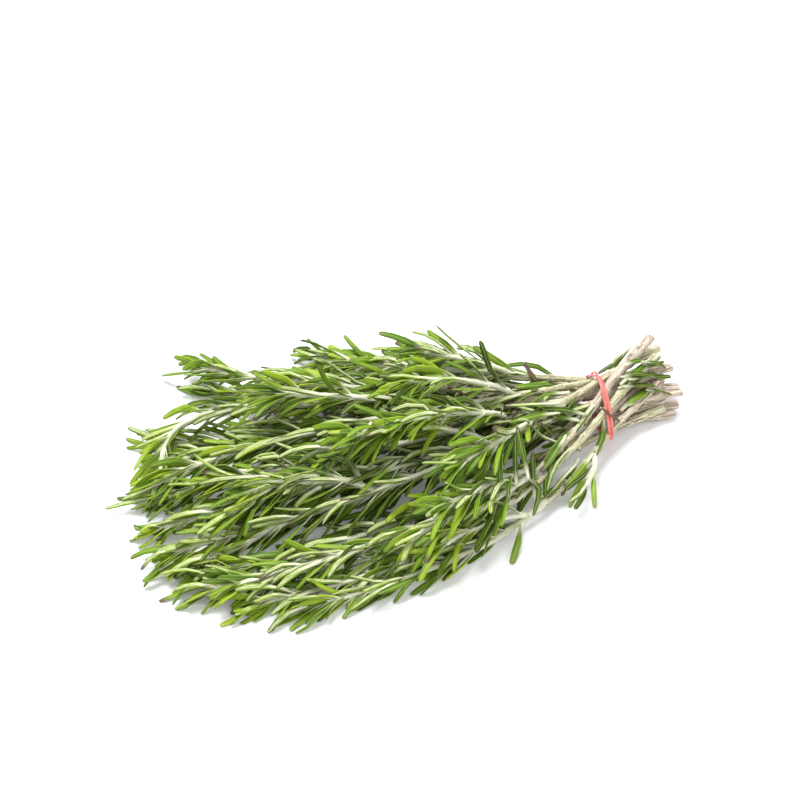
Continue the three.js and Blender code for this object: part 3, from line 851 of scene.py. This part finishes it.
def loose_leaf(towards_cuts, aside, heading, length, dry, rng):
    """A leaf laid on the bunch."""
    heading, length = math.radians(heading), length * MM
    start = np.array(TIE) + np.array([towards_cuts, aside, 0]) * MM
    level = np.array([math.cos(heading), math.sin(heading), 0])
    shares = np.linspace(0, 1, LEAF_STEPS + 1)
    tops = np.array([top_at(start + level * share * length) for share in shares])
    held = ~np.isnan(tops)
    if held.mean() > LEAST_HELD:
        rise, height = np.polyfit(shares[held], tops[held], 1)
        height += (tops - height - rise * shares)[held].max() + LEAF_THICKNESS / 2
    else:
        start = nearest(start, stem_names)[0]
        rise, height = WEDGED_DROP * length, start[2]
    along = unit(level * length + UP * rise)
    upwards = unit(UP - along * along[2])
    leaf = {
        "base": np.array([start[0], start[1], height]), "along": along, "angle": 0.0,
        "out": upwards if rng.random() < FELT_UP else -upwards, "length": length,
        "curl": math.radians(rng.uniform(-LOOSE_CURL, LOOSE_CURL)),
    }
    leaf = dressed(leaf, rng, LOOSE_SHARE * rng.random())
    leaf["twist"] = math.radians(rng.uniform(-LOOSE_TWIST, LOOSE_TWIST))
    leaf["sway"] *= STRAIGHTER
    leaf.update(lean=0.0, sag=LOOSE_SAG, dry=dry)
    return leaf


print(len(every_row), "places along the stems for a leaf to rest on")

# %% Scatter the handfuls
HANDFULS = [  # leaves, mm towards the cut ends, mm to the far side, heading in degrees, mm long
    (14, (4, 24), (-10, 6), (0, 35), (12, 18)),  # between the cut ends
    (3, (14, 20), (11, 14), (135, 145), (15, 21)),  # behind them
    (10, (-26, -4), (-18, -6), (145, 190), (16, 24)),  # on the near side of the tie
    (6, (-34, -8), (-30, -14), (210, 225), (20, 26)),  # hanging out below it
    (3, (-55, -40), (-42, -36), (60, 80), (15, 24)),  # across the rubbed stems
    (6, (-120, -90), (-22, -8), (190, 205), (20, 26)),  # where the fan opens
]
CURLED_UP = [(-5, -10, -20, 12), (-35, 0, -145, 24), (-25, 25, -55, 10)]  # the same, but a leaf each
MOST_WILTED = 0.15  # how much the tip of a scattered leaf has dried, at most

rng = random.Random("loose leaves")
loose_leaves = [loose_leaf(*row, 1, rng) for row in CURLED_UP]
for count, *ranges in HANDFULS:
    for _ in range(count):
        row = [rng.uniform(*limits) for limits in ranges]
        loose_leaves.append(loose_leaf(*row, rng.uniform(0, MOST_WILTED), rng))
print(len(loose_leaves), "loose leaves")

# %% [markdown]
# ## Finishes
# Noise in plain space would be the shortest way to break up a colour, but it would run straight
# through leaves that cross. So each shader reads the marks on the mesh, and its pattern follows its
# own leaf or stem wherever that was laid. One function adds a node, sets its values and links its
# inputs. The others are patterns made of a few nodes, so that each finish reads as its coats in turn.

# %% Add a node
def colour(code):
    """An sRGB hex colour as the linear values that a shader takes."""
    parts = [int(code[i : i + 2], 16) / 255 for i in (1, 3, 5)]
    return [c / 12.92 if c <= 0.04045 else ((c + 0.055) / 1.055) ** 2.4 for c in parts] + [1]


def add(finish, kind, inputs, out=0, **settings):
    """Adds a shader node and returns one output. An input is a value, a hex colour or an output."""
    node = finish.node_tree.nodes.new("ShaderNode" + kind)
    stops = settings.pop("stops", {})
    if stops:
        ramp = node.color_ramp.elements
        for place in list(stops)[1:-1]:
            ramp.new(place)
        for element, (place, code) in zip(ramp, stops.items()):
            element.position, element.color = place, colour(code)
    for name, value in settings.items():
        setattr(node, name, value)
    for name, value in inputs.items():
        if isinstance(value, bpy.types.NodeSocket):
            finish.node_tree.links.new(value, node.inputs[name])
        else:
            node.inputs[name].default_value = colour(value) if isinstance(value, str) else value
    return node.outputs[out] if node.outputs else None


# %% Start a finish
def new_finish(name):
    """A finish with no nodes yet."""
    finish = bpy.data.materials.new(name)
    finish.use_nodes = True
    finish.node_tree.nodes.clear()
    return finish


def marks_of(finish):
    """The marks that growth leaves on a mesh: where a point is on its leaf or stem in mm, the same
    shifted by its tone so that no two pieces match, and the plain numbers."""
    grain = add(finish, "Attribute", {}, "Vector", attribute_name="grain")
    marks = {
        name: add(finish, "Attribute", {}, "Fac", attribute_name=name)
        for name in ("feature", "tone", "age", "dry")
    }
    spread = add(finish, "CombineXYZ", dict.fromkeys("XYZ", marks["tone"]))
    shift = {0: spread, 1: (90, 70, 50), 2: grain}
    return grain, add(finish, "VectorMath", shift, operation="MULTIPLY_ADD"), marks


# %% Make patterns of a few nodes
def speckle(finish, vector, scale, detail=3.0, roughness=0.6):
    """Noise from 0 to 1 with its own scale per millimetre along each axis of the grain."""
    spread = add(finish, "VectorMath", {0: vector, 1: scale}, operation="MULTIPLY")
    looks = {"Vector": spread, "Scale": 1.0, "Detail": detail, "Roughness": roughness}
    return add(finish, "TexNoise", looks, "Fac")


SMOOTH = {"interpolation_type": "SMOOTHSTEP"}  # settings of a Map Range node that eases in and out
RGB = {"out": 2, "data_type": "RGBA"}  # and of a Mix node for colours, whose inputs are 6 and 7


def coat(finish, under, over, value, low, high, most=1.0):
    """One colour laid over another as a value goes from low to high, to hide at most a share."""
    cover = add(finish, "MapRange", {0: value, 1: low, 2: high, 4: most}, **SMOOTH)
    return add(finish, "Mix", {0: cover, 6: under, 7: over}, **RGB)


def finished(finish, skin, roughness, ior, height, strength, depth):
    """Ends a finish with its shader, a bump from a height, and its output. Depth is in mm."""
    relief = add(finish, "Bump", {"Strength": strength, "Distance": depth * MM, "Height": height})
    looks = {"Base Color": skin, "Roughness": roughness, "IOR": ior, "Normal": relief}
    add(finish, "OutputMaterial", {"Surface": add(finish, "BsdfPrincipled", looks)})
    print("finish:", finish.name)


# %% [markdown]
# ### Rosemary leaf, grown
# The upper side is a tough waxy skin, so it keeps a soft shine. A painted highlight runs as a pale line
# along its groove and along both edges. The underside is white felt between two green margins, quite
# matt, with a green midrib.
# Young leaves are yellower, old ones deep olive, and where a leaf joins its stem it fades to cream.
# A leaf dries from its tip, to a purplish brown.

# %% Leaf finish: the waxy side
leaf_skin = new_finish("waxy_rosemary_leaf_grown")
grain, shifted, marks = marks_of(leaf_skin)
parts = add(leaf_skin, "SeparateXYZ", {"Vector": grain}).node.outputs
across = add(leaf_skin, "Math", {0: parts["Y"]}, operation="ABSOLUTE")  # mm from the middle
GROOVE_HIGHLIGHT, EDGE = (0.36, 0.08), (1.15, 1.45)  # mm across, between which the painted highlights along the groove and the edges come in

green = add(
    leaf_skin, "ValToRGB", {"Fac": marks["age"]},
    stops={0.0: "#9cb414", 0.35: "#74980a", 0.7: "#4a6f0a", 1.0: "#2f450b"},
)
streaks = speckle(leaf_skin, shifted, (0.16, 1.7, 1.7))  # 6 mm long and 0.6 mm wide
dull = speckle(leaf_skin, shifted, (0.1, 0.4, 0.4), 1.0)  # 10 mm long and 2.5 mm wide
green = coat(leaf_skin, green, "#98b02c", streaks, 0.45, 0.75, most=0.42)
green = coat(leaf_skin, green, "#3a521a", dull, 0.5, 0.7, most=0.55)
# painted highlight: a pale line along the groove, standing in for its reflection
green = coat(leaf_skin, green, "#b4c66c", across, *GROOVE_HIGHLIGHT, most=0.42)
# painted highlight: a light yellow-green line along both edges of the waxy side
green = coat(leaf_skin, green, "#b0c25c", across, *EDGE, most=0.36)

# %% Leaf finish: the felted side, the base and the dry tip
MIDRIB, FELT_EDGE = (0.78, 0.92), (0.2, 0.38)  # of the mark that is 1 on the midrib
CREAM_BY, CREAM_FROM = 2.0, 10.5  # mm from the base
FELT_CREAM = 6.0  # mm that the cream reaches further on the felted side
DRY_FROM, DRY_BY = 1.12, 1.3  # of the share of the length plus the dry mark and some noise
RAGGED = 0.4  # how much that noise counts

fibres = speckle(leaf_skin, shifted, (0.3, 2.4, 2.4))  # 3 mm long and 0.4 mm wide
felt = coat(leaf_skin, "#87964e", "#c9d29e", fibres, 0.3, 0.6)
felt = coat(leaf_skin, felt, "#8b9e44", marks["feature"], *MIDRIB, most=0.85)
edge_from, edge_by = FELT_EDGE
side = add(leaf_skin, "MapRange", {0: marks["feature"], 1: edge_from, 2: edge_by}, **SMOOTH)
face = add(leaf_skin, "Mix", {0: side, 6: green, 7: felt}, **RGB)
further = {0: side, 1: -FELT_CREAM, 2: parts["X"]}
further = add(leaf_skin, "Math", further, operation="MULTIPLY_ADD")
cream = add(leaf_skin, "MapRange", {0: further, 1: CREAM_FROM, 2: CREAM_BY}, **SMOOTH)
fresh = add(leaf_skin, "MapRange", {0: marks["age"], 1: 1.0, 2: 0.6, 3: 0.6, 4: 0.92}, **SMOOTH)
cream = add(leaf_skin, "Math", {0: cream, 1: fresh}, operation="MULTIPLY")
face = add(leaf_skin, "Mix", {0: cream, 6: face, 7: "#eae9cd"}, **RGB)
ragged = add(leaf_skin, "Math", {0: streaks, 1: RAGGED, 2: marks["dry"]}, operation="MULTIPLY_ADD")
drying = {0: parts["X"], 1: MM / LEAF_LENGTH, 2: ragged}
drying = add(leaf_skin, "Math", drying, operation="MULTIPLY_ADD")
withered = add(leaf_skin, "Mix", {0: streaks, 6: "#35271f", 7: "#86705c"}, **RGB)
face = coat(leaf_skin, face, withered, drying, DRY_FROM, DRY_BY)

wrinkles = speckle(leaf_skin, shifted, (0.8, 2.2, 2.2), 2.0)  # 1.2 mm long and 0.45 mm wide
matt = add(leaf_skin, "MapRange", {0: side, 3: 0.5, 4: 0.9}, **SMOOTH)
finished(leaf_skin, face, roughness=matt, ior=1.38, height=wrinkles, strength=0.35, depth=0.15)

# %% [markdown]
# ### Rosemary twig, this year's growth
# Four ribs of green run up a twig covered in short white hairs, so from a little way off it is a pale
# greenish cream, matt all over, and browner the nearer it is to the old wood. The hairs are half a
# millimetre long and too fine to show one by one, so they are drawn as a coarser fleck.

# %% Twig finish
twig_skin = new_finish("felted_rosemary_twig_grown")
grain, shifted, marks = marks_of(twig_skin)
hairs = speckle(twig_skin, shifted, (0.5, 4.0, 4.0))  # 2 mm long and 0.25 mm wide
blotch = speckle(twig_skin, shifted, (0.12, 0.3, 0.3), 1.0)  # 8 mm long and 3 mm wide
cream = add(twig_skin, "Mix", {0: hairs, 6: "#ccd0ac", 7: "#f8f6e8"}, **RGB)
cream = coat(twig_skin, cream, "#a3b06a", blotch, 0.45, 0.7, most=0.6)
tan = add(twig_skin, "Mix", {0: hairs, 6: "#9a8069", 7: "#e4d8c2"}, **RGB)
skin = coat(twig_skin, cream, tan, marks["age"], 0.45, 1.0, most=0.7)
finished(twig_skin, skin, roughness=0.8, ior=1.4, height=hairs, strength=0.4, depth=0.12)

# %% [markdown]
# ### Rosemary bark, weathered
# Young bark is thin and beige with a pink cast. It splits into long fibres as the stem thickens and
# shows darker wood between them, and each leaf scar is a small brown spot. Some stems are younger
# than others and still have a greenish cream skin under the same fibres.

# %% Bark finish
bark_skin = new_finish("split_rosemary_bark_weathered")
grain, shifted, marks = marks_of(bark_skin)
fibres = speckle(bark_skin, shifted, (0.07, 2.2, 2.2), 4.0, 0.7)  # 14 mm long and 0.45 mm wide
patches = speckle(bark_skin, shifted, (0.08, 0.4, 0.4), 2.0)  # 12 mm long and 2.5 mm wide
cracks = speckle(bark_skin, shifted, (0.035, 2.6, 2.6), 2.0)  # 29 mm long and 0.4 mm wide
old = add(
    bark_skin, "ValToRGB", {"Fac": fibres},
    stops={0.3: "#655341", 0.4: "#ae9a84", 0.5: "#d8cab5", 0.62: "#efe6d8"},
)
old = coat(bark_skin, old, "#b79a86", patches, 0.45, 0.7, most=0.45)
young = coat(bark_skin, "#90905c", "#e2dfbd", fibres, 0.35, 0.6)
youth = add(bark_skin, "Math", {0: marks["tone"], 1: marks["age"]}, operation="SUBTRACT")
skin = coat(bark_skin, old, young, youth, -0.6, 0.0, most=0.9)
skin = coat(bark_skin, skin, "#4e3f34", cracks, 0.46, 0.33, most=0.85)
skin = coat(bark_skin, skin, "#5d4636", marks["feature"], 0.3, 1.0, most=0.75)
finished(bark_skin, skin, roughness=0.78, ior=1.45, height=fibres, strength=0.8, depth=0.3)

# %% [markdown]
# ### Rosemary wood, snipped
# Secateurs leave a fibrous pale face that dries to straw, round a soft pith that is darker.

# %% Cut wood finish
cut_skin = new_finish("pale_rosemary_wood_snipped")
grain, shifted, marks = marks_of(cut_skin)
fibres = speckle(cut_skin, shifted, (3.0, 3.0, 3.0))  # the ends of fibres, drawn 0.3 mm wide
straw = add(cut_skin, "Mix", {0: fibres, 6: "#a78d66", 7: "#ecdfbd"}, **RGB)
straw = coat(cut_skin, straw, "#7d6243", marks["feature"], 0.2, 0.9, most=0.7)
finished(cut_skin, straw, roughness=0.85, ior=1.45, height=fibres, strength=0.5, depth=0.1)

# %% [markdown]
# ### Natural rubber, calendered and dyed coral
# A thin band is cut from sheet, so it is smooth and a little shiny, with faint marks along it where
# it is stretched. A fine bloom dulls it here and there.

# %% Rubber finish
rubber_skin = new_finish("coral_rubber_calendered")
grain, shifted, marks = marks_of(rubber_skin)
pull = speckle(rubber_skin, grain, (0.1, 3.0, 3.0), 2.0)  # 10 mm long and 0.3 mm wide
bloom = speckle(rubber_skin, grain, (1.2, 1.2, 1.2))  # 0.8 mm across
coral = coat(rubber_skin, "#d9605a", "#f08c84", pull, 0.3, 0.7)
coral = coat(rubber_skin, coral, "#f9a39b", bloom, 0.5, 0.8, most=0.35)
finished(rubber_skin, coral, roughness=0.4, ior=1.52, height=pull, strength=0.25, depth=0.08)

# %% [markdown]
# ## The pieces
# Each solid gets one grown piece that stands for it. A piece is built from its gathered arrays, then
# welded where stretches meet end to end, so that each stem is one closed skin.

# %% Build a piece from its growth
WELD = 0.002 * MM  # how close two points are joined, where stretches meet
FINISHES = {
    "leaf": leaf_skin, "twig": twig_skin, "bark": bark_skin, "cut": cut_skin, "rubber": rubber_skin,
}
triangles = {}


def build(growth, name, slot, *nodes):
    """Makes one object of a growth, with its marks and finishes, to stand for the nodes."""
    mesh = bpy.data.meshes.new(name)
    mesh.from_pydata(np.concatenate(growth.points), [], growth.faces)
    for mark, rows in growth.marks.items():
        kind, field = ("FLOAT_VECTOR", "vector") if mark == "grain" else ("FLOAT", "value")
        values = np.concatenate(rows).astype(np.float32)
        mesh.attributes.new(mark, kind, "POINT").data.foreach_set(field, values.ravel())
    kinds = sorted(set(growth.kinds))
    for kind in kinds:
        mesh.materials.append(FINISHES[kind])
    mesh.polygons.foreach_set("material_index", [kinds.index(kind) for kind in growth.kinds])
    surface = bmesh.new()
    surface.from_mesh(mesh)
    bmesh.ops.remove_doubles(surface, verts=surface.verts, dist=WELD)
    surface.to_mesh(mesh)
    surface.free()
    mesh.shade_smooth()
    piece = bpy.data.objects.new(name, mesh)
    bpy.context.scene.collection.objects.link(piece)
    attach(piece, "root")
    if nodes:
        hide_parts(*nodes)
    triangles[name] = sum(len(p.vertices) - 2 for p in mesh.polygons)


# %% Grow the leafy shoots
TIP_RADIUS = 0.95 * MM  # of the twig under its growing tip
HEEL = 1.2  # the radius of a shoot's heel, as a share of its plain solid's
TIP_HEEL_AGE, SIDE_HEEL_AGE = 0.75, 0.4  # a tip shoot goes on from the old wood, so it starts older


def grow_shoot(name):
    """One leafy shoot: its twig, closed at both ends, and all its leaves."""
    line, growth, rng = lines[name], Growth(), random.Random(name + " twig")

    def radius(distance):
        return np.interp(distance, (0, line.length), (HEEL * line.taper[1], TIP_RADIUS))

    tone = rng.random()
    ages = ((0, line.length), (TIP_HEEL_AGE if name.endswith("tip") else SIDE_HEEL_AGE, 0))
    chain(growth, TWIG, "twig", line, radius, tone, ages)
    for start, flip in ((0, 1), (line.length, -1)):
        scale = float(radius(start)) / MM
        lay(growth, TWIG_CAP, "twig", line, radius, tone, ages, start, scale, flip=flip)
    for leaf in leaves[name]:
        lay_leaf(growth, leaf)
    build(growth, "grown_" + name, "leaf", name)


for name in shoot_names:
    grow_shoot(name)
print(sum(triangles.values()), "triangles in", len(triangles), "shoots")

# %% Grow the woody stems
GIRTH = 1.08  # from the solid's flat-sided radius to the round one
CUT_SLANT = 0.35  # how oblique a snipped end is, as a slope
WOOD_AGES = (1, 0.35)  # at the cut end and where the shoot begins
STUB_SPACING = (14, 34)  # mm, from the tie to the first and from each to the next
STUB_ANGLE = math.radians(48)  # away from the stem
STUB_ROOT = 0.5  # share of the stem's radius at which a stub starts
STUB_AGE = 0.9  # nearly as old as the cut end, wherever it is


def lay_stub(growth, line, radius, distance, turn, tone):
    """Adds the stub of a side twig, sunk a little into the wood."""
    place, ahead, side, other = line.at(distance)
    out = side * math.cos(turn) + other * math.sin(turn)
    axis = ahead * math.cos(STUB_ANGLE) + out * math.sin(STUB_ANGLE)
    x, y, z = STUB.points.T[:, :, None]
    across = np.cross(ahead, out)
    root = place + out * STUB_ROOT * radius(distance)
    points = root + axis * x + across * y + np.cross(axis, across) * z
    grain = np.stack([distance + x, y, z], axis=-1)[:, 0] / MM
    growth.add(STUB, points, "bark", grain, tone, STUB_AGE)


def grow_stem(name):
    """One woody stem: its bark, its two ends and its stubs."""
    line, growth, rng = lines[name], Growth(), random.Random(name)

    def radius(distance):
        return GIRTH * line.radius(distance)

    tone = rng.random()
    ages = ((0, line.length), WOOD_AGES)
    chain(growth, WOOD, "bark", line, radius, tone, ages, CUT_SLANT)
    scale = float(radius(0)) / MM
    lay(growth, CUT, "cut", line, radius, tone, ages, 0, scale, slant=CUT_SLANT)
    lay(growth, CAP, "bark", line, radius, tone, ages, line.length, 1, flip=-1)
    tie = line.marks[np.abs(line.rows[:, 0] - TIE.x).argmin()]
    distance = tie + rng.uniform(*STUB_SPACING) * MM
    while distance < line.length:
        lay_stub(growth, line, radius, distance, rng.uniform(0, math.tau), tone)
        distance += rng.uniform(*STUB_SPACING) * MM
    build(growth, "grown_" + name, "bark", name)


for name in stem_names:
    grow_stem(name)
print(sum(triangles.values()), "triangles in", len(triangles), "pieces")

# %% Grow the leaves on the old wood, and lay the loose ones
for name in stem_names:
    growth = Growth()
    for leaf in old_leaves[name]:
        lay_leaf(growth, leaf)
    build(growth, "old_leaves_" + name, "leaf")
growth = Growth()
for leaf in loose_leaves:
    lay_leaf(growth, leaf)
build(growth, "loose_leaves", "leaf")
print(sum(triangles.values()), "triangles in", len(triangles), "pieces")

# %% [markdown]
# ## The rubber band
# A thin band goes twice round the bunch, bridges the hollows between the outer stems and pulls them
# in. Its two turns lie side by side and cross once, on top. A curve with a bevel would give the same
# tube, but a torus already has the closed ring of faces, so its points are moved onto the bunch: the
# angle round the torus becomes two turns round the tie, and the small circle the band's section.

# %% Find how far out the bunch reaches all round the tie
BAND_WIDTH = 1.2 * MM
BAND_THICKNESS = 1 * MM
DIRECTIONS = 180
BESIDE = (-1.5, 0, 1.5)  # mm along the stems from the middle of the tie, where they are felt for
GRAZING = 0.05  # how squarely a side must face a direction to hold the band in there
CORNER = 5  # directions either side that a corner of the loop is rounded over
LEAN_OVER = 0.13  # how far the loop leans along the bunch, for each step across it

outline = []
for name in stem_names:
    line = lines[name]
    leaned = TIE.x + LEAN_OVER * (line.rows[:, 1] - TIE.y)
    for beside in BESIDE:
        row = np.abs(line.rows[:, 0] - leaned - beside * MM).argmin()
        outline.append((*line.rows[row, 1:3], GIRTH * line.radius(line.marks[row])))
outline = np.array(outline)
hub = outline[:, :2].mean(axis=0)
angles = np.arange(DIRECTIONS) / DIRECTIONS * math.tau
heads = np.stack([np.cos(angles), np.sin(angles)], axis=1)
support = ((outline[:, :2] - hub) @ heads.T + outline[:, 2:]).max(axis=0)
facing = heads @ heads.T
reach = np.where(facing > GRAZING, support / np.maximum(facing, GRAZING), np.inf).min(axis=1)
corner = range(-CORNER, CORNER + 1)
reach = np.mean([np.roll(reach, i) for i in corner], axis=0)
print(f"the tie is {2 * reach.min() / MM:.1f} to {2 * reach.max() / MM:.1f} mm across")

# %% Wrap a torus twice round the tie
CROSSING = math.radians(62)  # from the far side upwards, where one turn passes over the other
SWAP = 7  # how suddenly the turns swap sides there
CLIMB = (0.84, 0.97)  # between which the upper turn climbs over: 1 is the crossing
SPREAD = 0.68 * MM  # how far each turn lies from the middle of the tie
SPREAD_FAR = 1.1 * MM  # and how far on the far side, where they drift apart
FAR = math.radians(5)
SQUARENESS = 0.8  # 1 is an ellipse, less is a rounder rectangle
BAND_STEPS, BAND_SIDES = 240, 12

bpy.ops.object.select_all(action="DESELECT")
bpy.ops.mesh.primitive_torus_add(  # of any size, because only the angles round it are read
    major_segments=BAND_STEPS, minor_segments=BAND_SIDES, major_radius=1, minor_radius=0.25
)
band = bpy.context.object
growth = Growth()
RING = Shape(band)
x, y, z = RING.points.T
half = np.arctan2(y, x) % math.tau
section = np.arctan2(z, np.hypot(x, y) - 1)
turned = CROSSING + 2 * (half - math.pi / 2)
drift = np.clip(np.cos(turned - FAR), 0, 1) ** 2
spread = SPREAD + (SPREAD_FAR - SPREAD) * drift
climb = np.clip((np.sin(half) - CLIMB[0]) / (CLIMB[1] - CLIMB[0]), 0, 1)
rise = BAND_THICKNESS * climb**2 * (3 - 2 * climb)
outwards = np.cos(section)
outwards = np.sign(outwards) * np.abs(outwards) ** SQUARENESS * BAND_THICKNESS / 2
aside = np.sign(z) * np.abs(np.sin(section)) ** SQUARENESS * BAND_WIDTH / 2
at = np.interp(turned % math.tau, np.append(angles, math.tau), np.append(reach, reach[0]))
radius = at + BAND_THICKNESS / 2 + rise + outwards
across = hub[0] + radius * np.cos(turned)
along = TIE.x + LEAN_OVER * (across - TIE.y) + spread * np.tanh(SWAP * np.cos(half)) + aside
points = np.stack([along, across, hub[1] + radius * np.sin(turned)], axis=1)
grain = np.stack([half * reach.mean() * 2, aside, outwards], axis=1) / MM
growth.add(RING, points, "rubber", grain, tone=0.5, age=0.0)
build(growth, "coral_band", "rubber", "rubber_band")
print("the band has", triangles["coral_band"], "triangles, and the bunch", sum(triangles.values()))

# %% [markdown]
# ## Stage, light and camera
# A pale sweep of paper, one broad soft light high up behind the bunch and a little to its left, a
# weaker one in front, and a bright even surround, as for a picture of food on white.

# %% Floor
FLOOR_SIZE = 6  # m, so that none of its edges shows
PAPER_GLOW = 0.1  # light of its own, as from a lit table under thin paper, which softens the shadows

bpy.ops.object.select_all(action="DESELECT")
bpy.ops.mesh.primitive_plane_add(size=FLOOR_SIZE, location=(0, 0, 0))
floor = bpy.context.object
floor.name = "paper_sweep"
paper = new_finish("white_paper_matt")
sheet = {"Base Color": "#f4f4f6", "Roughness": 1.0, "IOR": 1.2, "Emission Strength": PAPER_GLOW}
shader = add(paper, "BsdfPrincipled", {**sheet, "Emission Color": "#f2f6ff"})
add(paper, "OutputMaterial", {"Surface": shader})
floor.data.materials.append(paper)
print("a floor", round(floor.dimensions.x), "m across")

# %% Lights
def add_light(name, place, size, power):
    """A square area light that looks at the middle of the bunch."""
    bpy.ops.object.select_all(action="DESELECT")
    bpy.ops.object.light_add(type="AREA", location=place)
    light = bpy.context.object
    light.name = name
    light.data.size = size
    light.data.energy = power
    light.rotation_euler = (-Vector(place)).to_track_quat("-Z", "Y").to_euler()
    print("light:", name)


SURROUND = 0.5  # how bright the world is, which lights every side evenly

add_light("key_softbox", place=(-0.25, 0.4, 1.4), size=0.9, power=28)
add_light("front_fill", place=(0.5, -0.9, 1.0), size=1.2, power=7)
world = bpy.data.worlds.new("white_surround")
world.use_nodes = True
world.node_tree.nodes["Background"].inputs["Color"].default_value = (1, 1, 1, 1)
world.node_tree.nodes["Background"].inputs["Strength"].default_value = SURROUND
bpy.context.scene.world = world
bpy.context.scene.view_settings.view_transform = "Standard"

# %% Camera
AZIMUTH, ELEVATION = math.radians(-19), math.radians(43)
DISTANCE = 0.78  # m
LENS = 85  # mm, as for a portrait, which keeps the near and the far leaves alike in size
NEAREST = 0.01  # m, from where on the camera sees things
PAN_RIGHT, PAN_UP = -3.6 * MM, 22.2 * MM  # frames the bunch a little right of and below the middle

back = Vector((
    math.sin(AZIMUTH) * math.cos(ELEVATION), -math.cos(AZIMUTH) * math.cos(ELEVATION),
    math.sin(ELEVATION),
))
bpy.ops.object.select_all(action="DESELECT")
bpy.ops.object.camera_add()
camera = bpy.context.object
camera.data.lens = LENS
camera.data.clip_start = NEAREST
camera.rotation_euler = back.to_track_quat("Z", "Y").to_euler()
turned = camera.rotation_euler.to_matrix()
camera.location = back * DISTANCE + turned @ Vector((PAN_RIGHT, PAN_UP, 0))
bpy.context.scene.camera = camera
print(f"the camera is {DISTANCE} m away, {math.degrees(ELEVATION):.0f} degrees up")
